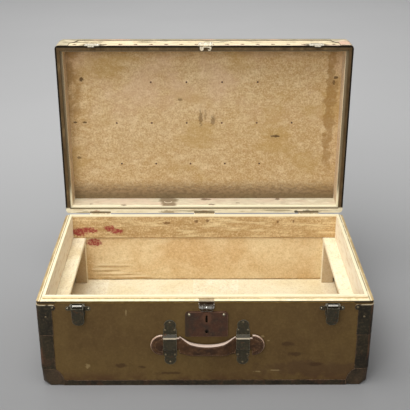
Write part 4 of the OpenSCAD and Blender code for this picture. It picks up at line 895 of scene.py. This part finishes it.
def add_wall_cloth(material, cloth):
    """The walls' lining as one skin with folds, in place of the flat node."""
    x0, x1 = WALL_LOW[0], WALL_HIGH[0]
    y0, y1 = WALL_LOW[1], WALL_HIGH[1]
    z0, z1 = FLOOR_TOP, WALL_HIGH[2]
    thick = 1.0 * MM
    step = 5.5 * MM
    ripple, ripple_length = 0.35 * MM, 0.04
    flat_ends, flat_rows = 1 / 12, 3
    corners = [(x0, y0), (x1, y0), (x1, y1), (x0, y1)]
    inward = [(0, 1), (-1, 0), (0, -1), (1, 0)]
    rows = max(2, round((z1 - z0) / step))
    ring = []
    for side in range(4):
        (ax, ay), (bx, by) = corners[side], corners[(side + 1) % 4]
        count = round(math.dist((ax, ay), (bx, by)) / step)
        for i in range(count):
            t = i / count
            ring.append((side, t, ax + (bx - ax) * t, ay + (by - ay) * t))
    inner, outer = [], []
    for k in range(rows + 1):
        z = z0 + (z1 - z0) * k / rows
        for side, t, x, y in ring:
            nx, ny = inward[side]
            outer.append((x, y, z))
            if t == 0:
                px, py = inward[side - 1]
                inner.append((x + (nx + px) * thick, y + (ny + py) * thick, z))
                continue
            swell = ripple * (1 + wavy(x + y, z, ripple_length, 2.0 + side))
            if side == 2:
                swell += wall_folds(x, z, cloth)
            swell *= min(1.0, min(t, 1 - t) / flat_ends) * min(1.0, (rows - k) / flat_rows)
            depth = thick + swell
            inner.append((x + nx * depth, y + ny * depth, z))
    n = len(ring)
    count = len(inner)
    faces = []
    for k in range(rows):
        for i in range(n):
            j = (i + 1) % n
            a, b, c, d = k * n + i, k * n + j, (k + 1) * n + j, (k + 1) * n + i
            faces.append((a, b, c, d))
            faces.append((count + d, count + c, count + b, count + a))
    top = rows * n
    for i in range(n):
        j = (i + 1) % n
        faces.append((i, count + i, count + j, j))
        faces.append((top + i, top + j, count + top + j, count + top + i))
    piece = add_piece("wall_cloth", inner + outer, faces, material, "case")
    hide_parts("wall_lining")


# Leather of the handle

# The handle's own sizes that its node doesn't give: its play in the loops, from which
# follow the ends of grip and lugs, the neck's half height and rise, the dip of its upper
# edge, its narrower waist and its bow away from the case
PLAY = 3.4 * MM
GRIP_END, LUG_START = LOOPS_IN - PLAY, LOOPS_OUT + PLAY
NECK = 14 * MM
NECK_RISE = 4 * MM
DIP = 16.5 * MM
WAIST_IN = 4 * MM
STRAP_GAP = 2.5 * MM
STRAP_THICK = 6 * MM
GRIP_OUT = 7.0 * MM
GRIP_THICK = 12 * MM
# Width over which a shoulder rises from the neck; it lies on the side away from the loop
SHOULDER = 0.4 * MM


def handle_top(x):
    """Half heights of the handle, upwards and downwards, at a distance from its middle."""
    x = abs(x)
    waist = LUG - WAIST_IN
    if x > LUG_START:
        from_centre = x - (HANDLE_HALF - LUG)
        up = math.sqrt(max(0.0, LUG ** 2 - from_centre ** 2))
        return up, up
    if x >= GRIP_END:
        return NECK + NECK_RISE, NECK - NECK_RISE
    reach = GRIP_END - 2 * MM
    radius = (reach * reach + DIP * DIP) / (2 * DIP)
    dip = math.sqrt(radius * radius - x * x) - (radius - DIP) if x < reach else 0.0
    return waist - dip, waist


def handle_depth(x):
    """Distance of the handle's back from the canvas, and its thickness."""
    reach, taper = LOOPS_IN - 4 * MM, 26 * MM
    t = smooth_step((reach - abs(x)) / taper)
    return STRAP_GAP + t * (GRIP_OUT - STRAP_GAP), STRAP_THICK + t * (GRIP_THICK - STRAP_THICK)


def ring_faces(first, rings, sides):
    """Faces between rings of points that follow one another in the list of points."""
    return [(ring + k, ring + (k + 1) % sides, ring + sides + (k + 1) % sides, ring + sides + k)
            for ring in range(first, first + (rings - 1) * sides, sides) for k in range(sides)]


def rod_faces(first, rings, sides):
    """Faces round the rings and over both ends."""
    last = first + (rings - 1) * sides
    return ring_faces(first, rings, sides) + [
        tuple(range(first, first + sides)), tuple(reversed(range(last, last + sides)))]


def handle_stations():
    """Distances from the handle's middle at which its outline is drawn, closer at its ends."""
    steps, crowding = 190, 0.25
    half = HANDLE_HALF * 0.9995
    places = [-half * (crowding * math.cos(math.pi * i / steps)
                       + (1 - crowding) * (1 - 2 * i / steps)) for i in range(steps + 1)]
    shoulders = [side * x for side in (-1, 1)
                 for x in (GRIP_END - SHOULDER, GRIP_END, LUG_START, LUG_START + SHOULDER)]
    places = [x for x in places if min(abs(x - s) for s in shoulders) > 2 * SHOULDER]
    return sorted(places + shoulders)


def add_handle(material):
    """The grip as one leather form, nearly square in section, with rounded edges."""
    sides = 40
    squareness, rounding, thinning = 0.30, 2.6 * MM, 0.75
    thinnest = 0.8 * MM
    stations = handle_stations()
    vertices = []
    for x in stations:
        up, down = [max(height, thinnest) for height in handle_top(x)]
        back, thick = handle_depth(x)
        middle = (up - down) / 2
        high = (up + down) / 2
        edge = min(rounding, thick * 0.42, high * 0.9)
        for k in range(sides):
            a = 2 * math.pi * k / sides
            c, s = math.cos(a), math.sin(a)
            u = math.copysign(abs(c) ** squareness, c) * thick / 2
            v = math.copysign(abs(s) ** squareness, s) * high
            if abs(v) > high - edge:
                over = (abs(v) - (high - edge)) / edge
                u *= math.sqrt(max(0.0, 1 - thinning * over * over))
            vertices.append((HANDLE_X + x, FRONT_Y - back - thick / 2 - u, HANDLE_Z + middle + v))
    faces = rod_faces(0, len(stations), sides)
    piece = add_piece("handle_leather", vertices, faces, material, "handle")
    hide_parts("handle_grip")


def stitch_at(place, along, outward, length, vertices, faces):
    """One stitch: a short bead of thread lying on the leather."""
    rings, sides = 5, 6
    radius, blunt = 0.42 * MM, 0.04
    side = along.cross(outward).normalized()
    first = len(vertices)
    for r in range(rings):
        t = -1 + 2 * r / (rings - 1)
        swell = math.sqrt(max(blunt, 1 - t * t))
        for k in range(sides):
            a = 2 * math.pi * k / sides
            spread = side * math.cos(a) + outward * math.sin(a)
            vertices.append(place + along * (t * length / 2) + spread * radius * swell)
    faces.extend(rod_faces(first, rings, sides))


def add_stitches(material, pitch):
    """Rows of stitches: along the grip's two edges and two arcs on each round end."""
    points = []
    inset = 4.2 * MM
    reach = GRIP_END - 2 * MM
    count = round(2 * reach / pitch)
    for i in range(count + 1):
        x = -reach + 2 * reach * i / count
        up, down = handle_top(x)
        ahead = 0.5 * MM
        slope = Vector((ahead, 0, handle_top(x + ahead)[0] - up)).normalized()
        points.append((x, up - inset, slope))
        points.append((x, inset - down, Vector((1, 0, 0))))
    centre = HANDLE_HALF - LUG
    for radius in (LUG - inset, LUG - 2.4 * inset):
        arc = math.acos(min(1.0, (LUG_START + 2 * MM - centre) / radius))
        turns = round(2 * arc * radius / pitch)
        for side in (-1, 1):
            for i in range(turns + 1):
                a = -arc + 2 * arc * i / turns
                points.append((side * (centre + radius * math.cos(a)), radius * math.sin(a),
                               Vector((-side * math.sin(a), 0, math.cos(a)))))
    vertices, faces = [], []
    for x, z, along in points:
        back, thick = handle_depth(x)
        place = Vector((HANDLE_X + x, FRONT_Y - back - thick + 0.15 * MM, HANDLE_Z + z))
        stitch_at(place, along, Vector(FORWARD), pitch * 0.68, vertices, faces)
    piece = add_piece("handle_stitches", vertices, faces, material, "handle")


# Brads and other small things

def bead(centre, radius, height, vertices, faces):
    """Low domed head of a brad that is driven in from above."""
    rings, sides = 3, 12
    upward = Vector(UP)
    first = len(vertices)
    for r in range(rings):
        a = math.pi / 2 * r / rings
        for k in range(sides):
            b = 2 * math.pi * k / sides
            flat = Vector((-math.sin(b), math.cos(b), 0))
            vertices.append(centre + flat * radius * math.cos(a) + upward * height * math.sin(a))
    vertices.append(centre + upward * height)
    faces.extend(ring_faces(first, rings, sides))
    top = first + (rings - 1) * sides
    for k in range(sides):
        faces.append((top + k, top + (k + 1) % sides, len(vertices) - 1))
    faces.append(tuple(first + k for k in reversed(range(sides))))


def add_lid_brads(material, count):
    """Brads through the canvas along the lid's front, near its rim."""
    vertices, faces = [], []
    draw = random.Random(5)
    radius, height = 2.0 * MM, 1.1 * MM
    y = LID_LOW[1] + 18 * MM
    for i in range(count):
        x = BRADS_LEFT + (BRADS_RIGHT - BRADS_LEFT) * i / max(1, count - 1)
        x += draw.uniform(-2, 2) * MM
        place = Vector((x, y + draw.uniform(-0.6, 0.6) * MM, LID_HIGH[2]))
        bead(place, radius, height, vertices, faces)
    piece = add_piece("lid_brads", vertices, faces, material, "lid")


# The stage

def add_floor(stage_sizes):
    """Pale floor that curves up into a backdrop far behind."""
    f = Finish("studio_floor", 0.9, specular=0.1)
    # Painted light falloff: darker near the trunk and paler far behind
    f.paint = f.blend(f.along("Y", -0.7, 1.9), stage_sizes.floor, stage_sizes.backdrop)
    f.coat(f.clouds(0.3, 0.7, 0.8, 2), 0.04, "#808080")
    floor = f.done()
    half_width, front, back, bend, height = 9.0, -6.0, 5.0, 3.0, 9.0
    steps = 12
    rows = [(front, 0.0), (back, 0.0)]
    for i in range(1, steps + 1):
        a = math.pi / 2 * i / steps
        rows.append((back + bend * math.sin(a), bend * (1 - math.cos(a))))
    rows.append((back + bend, height))
    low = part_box("base_binding")[0][2]
    vertices = [(s * half_width, y, low + z) for y, z in rows for s in (-1, 1)]
    faces = [(2 * i, 2 * i + 1, 2 * i + 3, 2 * i + 2) for i in range(len(rows) - 1)]
    mesh = bpy.data.meshes.new("studio_floor")
    mesh.from_pydata(vertices, [], faces)
    mesh.shade_smooth()
    mesh.materials.append(floor)
    obj = new_object("studio_floor", mesh)


# Soft lights: name, the setting for their power, place, target, width and length
LIGHTS = (
    ("overhead_light", "key", (-0.5, -0.55, 2.5), (0, 0, 0.2), 1.7, 1.7),
    ("front_light", "fill", (-0.6, -2.4, 1.5), (0, 0, 0.25), 2.0, 1.4),
    ("backdrop_light", "behind", (0, 3.4, 3.0), (0, 3.6, 0), 4.0, 3.0))


def add_light(name, power, place, target, width, length):
    light = bpy.data.lights.new(name, "AREA")
    light.energy = power
    light.shape = "RECTANGLE"
    light.size = width
    light.size_y = length
    obj = new_object(name, light)
    obj.location = place
    obj.rotation_euler = (Vector(target) - Vector(place)).to_track_quat("-Z", "Y").to_euler()


def add_camera(stage_sizes):
    """Camera fitted to the edges of the case in the photo."""
    data = bpy.data.cameras.new("photo_camera")
    data.sensor_width = 36.0
    data.lens = stage_sizes.focal_px * data.sensor_width / PHOTO_PX
    data.shift_x = (PHOTO_PX / 2 - stage_sizes.centre_px[0]) / PHOTO_PX
    data.shift_y = (stage_sizes.centre_px[1] - PHOTO_PX / 2) / PHOTO_PX
    data.clip_start = 0.05
    data.clip_end = 60.0
    obj = new_object("photo_camera", data)
    yaw, pitch = stage_sizes.yaw, stage_sizes.pitch
    ahead = Vector((-math.sin(yaw) * math.cos(pitch), math.cos(yaw) * math.cos(pitch),
                    -math.sin(pitch)))
    right = Vector((math.cos(yaw), math.sin(yaw), 0))
    up = right.cross(ahead)
    turn = Matrix((right, up, -ahead)).transposed()
    obj.matrix_world = Matrix.Translation(Vector(stage_sizes.camera_at)) @ turn.to_4x4()
    bpy.context.scene.camera = obj


# Operators, one for each group of pieces

class TRUNK_OT_boards(bpy.types.Operator):
    """Finish the wooden boards"""
    bl_idname = "trunk.boards"
    bl_label = "Boards"

    def execute(self, context):
        names = [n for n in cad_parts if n.endswith("_board")]
        names += ["floor_battens", "collar_front", "collar_back", "collar_left", "collar_right"]
        paint_nodes(sawn_pine(), *names)
        return {"FINISHED"}


class TRUNK_OT_canvas(bpy.types.Operator):
    """Finish the canvas and the cloth bound over the rims"""
    bl_idname = "trunk.canvas"
    bl_label = "Canvas"

    def execute(self, context):
        cloth = context.scene.trunk_cloth
        paint_nodes(painted_canvas(cloth), "body_canvas", "lid_canvas")
        paint_nodes(body_rim_cloth(cloth), "body_rim_binding")
        paint_nodes(lid_rim_cloth(cloth), "lid_rim_binding")
        return {"FINISHED"}


class TRUNK_OT_lining(bpy.types.Operator):
    """Finish and fold the lining of the body"""
    bl_idname = "trunk.lining"
    bl_label = "Lining"

    def execute(self, context):
        cloth = context.scene.trunk_cloth
        add_wall_cloth(wall_cotton(cloth), cloth)
        paint_nodes(floor_cotton(cloth), "floor_lining")
        paint_nodes(collar_cotton(cloth), "collar_lining")
        soften(["collar_lining"], 0.8 * MM)
        return {"FINISHED"}


class TRUNK_OT_rails(bpy.types.Operator):
    """Finish the tray rails, their posts and the lid's liner boards"""
    bl_idname = "trunk.rails"
    bl_label = "Rails and liners"

    def execute(self, context):
        cloth = context.scene.trunk_cloth
        names = ["tray_rail_left", "tray_rail_right", "rail_posts"]
        paint_nodes(covered_wood(cloth), *names)
        paint_nodes(liner_cloth(cloth), "lid_liner_boards")
        soften([*names, "lid_liner_boards"], 1.0 * MM)
        return {"FINISHED"}


class TRUNK_OT_lid_panel(bpy.types.Operator):
    """Finish the covered panel inside the lid and its tacks"""
    bl_idname = "trunk.lid_panel"
    bl_label = "Lid panel"

    def execute(self, context):
        paint_nodes(panel_cotton(context.scene.trunk_cloth), "lid_lining_panel")
        paint_nodes(rusty_tack(context.scene.trunk_metal), "lid_lining_tacks")
        return {"FINISHED"}


class TRUNK_OT_trim(bpy.types.Operator):
    """Finish the strips, bindings, caps and upper corner pieces"""
    bl_idname = "trunk.trim"
    bl_label = "Edge trim"

    def execute(self, context):
        trim = context.scene.trunk_trim
        strips = ["corner_strips", "lid_corner_strips", "base_binding", "lid_edge_binding"]
        paint_nodes(fibre("edge_fibre", trim.fibre, "#473021", 0.6), *strips)
        paint_nodes(fibre("upper_fibre", "#29251b", "#383122", 0.5), "upper_corner_pieces")
        caps = ["base_corner_caps", "lid_corner_caps"]
        paint_nodes(fibre("cap_fibre", trim.cap, "#4a3729", 0.5), *caps)
        soften(strips + ["upper_corner_pieces"], 0.5 * MM)
        return {"FINISHED"}


class TRUNK_OT_hardware(bpy.types.Operator):
    """Finish the hinges, latches, lock, hasp and rivets"""
    bl_idname = "trunk.hardware"
    bl_label = "Hardware"

    def execute(self, context):
        metal = context.scene.trunk_metal
        nickel = ["hinge_pins", "latch_lever_pins", "lid_rivets"]
        iron = ["latch_left_plate", "latch_right_plate", "latch_left_lever",
                "latch_right_lever", "handle_loop_left", "handle_loop_right"]
        paint_nodes(nickel_plate(metal), *nickel)
        paint_nodes(tarnished_nickel(metal, "claw_nickel", "#4d4638"),
                    "latch_left_claw", "latch_right_claw")
        paint_nodes(rubbed_nickel("hasp_nickel", "#dccfb4"), "hasp_plate", "hasp_flap")
        paint_nodes(rubbed_nickel("catch_nickel", "#cfc6b2"), "lid_catches")
        paint_nodes(rubbed_nickel("hinge_nickel", "#b3a27f"), "hinge_body_leaves",
                    "hinge_lid_leaves")
        paint_nodes(tarnished_nickel(metal, "keep_nickel", "#4b3a2a", True), "lock_keep")
        paint_nodes(rivet_metal(), "body_rivets")
        paint_nodes(black_iron(metal), *iron)
        paint_nodes(lock_enamel(metal), "lock_plate")
        paint_nodes(dull_brass(metal), "lock_works", "lock_bolt")
        soften(["lock_plate", "lock_keep", "handle_loop_left", "handle_loop_right"], 0.5 * MM)
        soften(["latch_left_lever", "latch_right_lever", "latch_left_claw",
                "latch_right_claw", "lid_catches"], 0.3 * MM)
        return {"FINISHED"}


class TRUNK_OT_handle(bpy.types.Operator):
    """Make the leather handle and its stitches"""
    bl_idname = "trunk.handle"
    bl_label = "Handle"

    def execute(self, context):
        trim = context.scene.trunk_trim
        add_handle(saddle_leather(trim))
        add_stitches(linen_thread(trim), trim.stitch)
        return {"FINISHED"}


class TRUNK_OT_brads(bpy.types.Operator):
    """Make the brads along the lid's front"""
    bl_idname = "trunk.brads"
    bl_label = "Brads"

    def execute(self, context):
        count = context.scene.trunk_trim.brads
        if count:
            add_lid_brads(rusty_tack(context.scene.trunk_metal), count)
        return {"FINISHED"}


class TRUNK_OT_stage(bpy.types.Operator):
    """Set the floor, the lights and the camera"""
    bl_idname = "trunk.stage"
    bl_label = "Stage"

    def execute(self, context):
        sizes = context.scene.trunk_stage
        add_floor(sizes)
        for name, power, *places in LIGHTS:
            add_light(name, getattr(sizes, power), *places)
        world = bpy.data.worlds.new("studio_sky")
        world.use_nodes = True
        sky = world.node_tree.nodes["Background"]
        sky.inputs["Color"].default_value = (1, 1, 1, 1)
        sky.inputs["Strength"].default_value = sizes.sky
        context.scene.world = world
        context.scene.view_settings.view_transform = "Standard"
        add_camera(sizes)
        return {"FINISHED"}


OPERATORS = (
    TRUNK_OT_boards, TRUNK_OT_canvas, TRUNK_OT_lining, TRUNK_OT_rails, TRUNK_OT_lid_panel,
    TRUNK_OT_trim, TRUNK_OT_hardware, TRUNK_OT_handle, TRUNK_OT_brads, TRUNK_OT_stage)


class TRUNK_PT_panel(bpy.types.Panel):
    """Steps that dress the trunk, and their sizes and colours"""
    bl_idname = "TRUNK_PT_panel"
    bl_label = "Travel Trunk"
    bl_space_type = "VIEW_3D"
    bl_region_type = "UI"
    bl_category = "Trunk"

    def draw(self, context):
        for group in SETTINGS:
            sizes = getattr(context.scene, group)
            box = self.layout.box()
            for key in sizes.bl_rna.properties.keys():
                if key not in ("rna_type", "name"):
                    box.prop(sizes, key)
        for operator in OPERATORS:
            self.layout.operator(operator.bl_idname)


SETTINGS = {
    "trunk_cloth": TrunkCloth,
    "trunk_trim": TrunkTrim,
    "trunk_metal": TrunkMetal,
    "trunk_stage": TrunkStage,
}
CLASSES = (*SETTINGS.values(), *OPERATORS, TRUNK_PT_panel)


def register():
    for cls in CLASSES:
        bpy.utils.register_class(cls)
    for name, group in SETTINGS.items():
        setattr(bpy.types.Scene, name, PointerProperty(type=group))


def unregister():
    for name in SETTINGS:
        delattr(bpy.types.Scene, name)
    for cls in reversed(CLASSES):
        bpy.utils.unregister_class(cls)


def main():
    register()
    for operator in OPERATORS:
        group, name = operator.bl_idname.split(".")
        getattr(getattr(bpy.ops, group), name)()


if __name__ == "__main__":
    main()
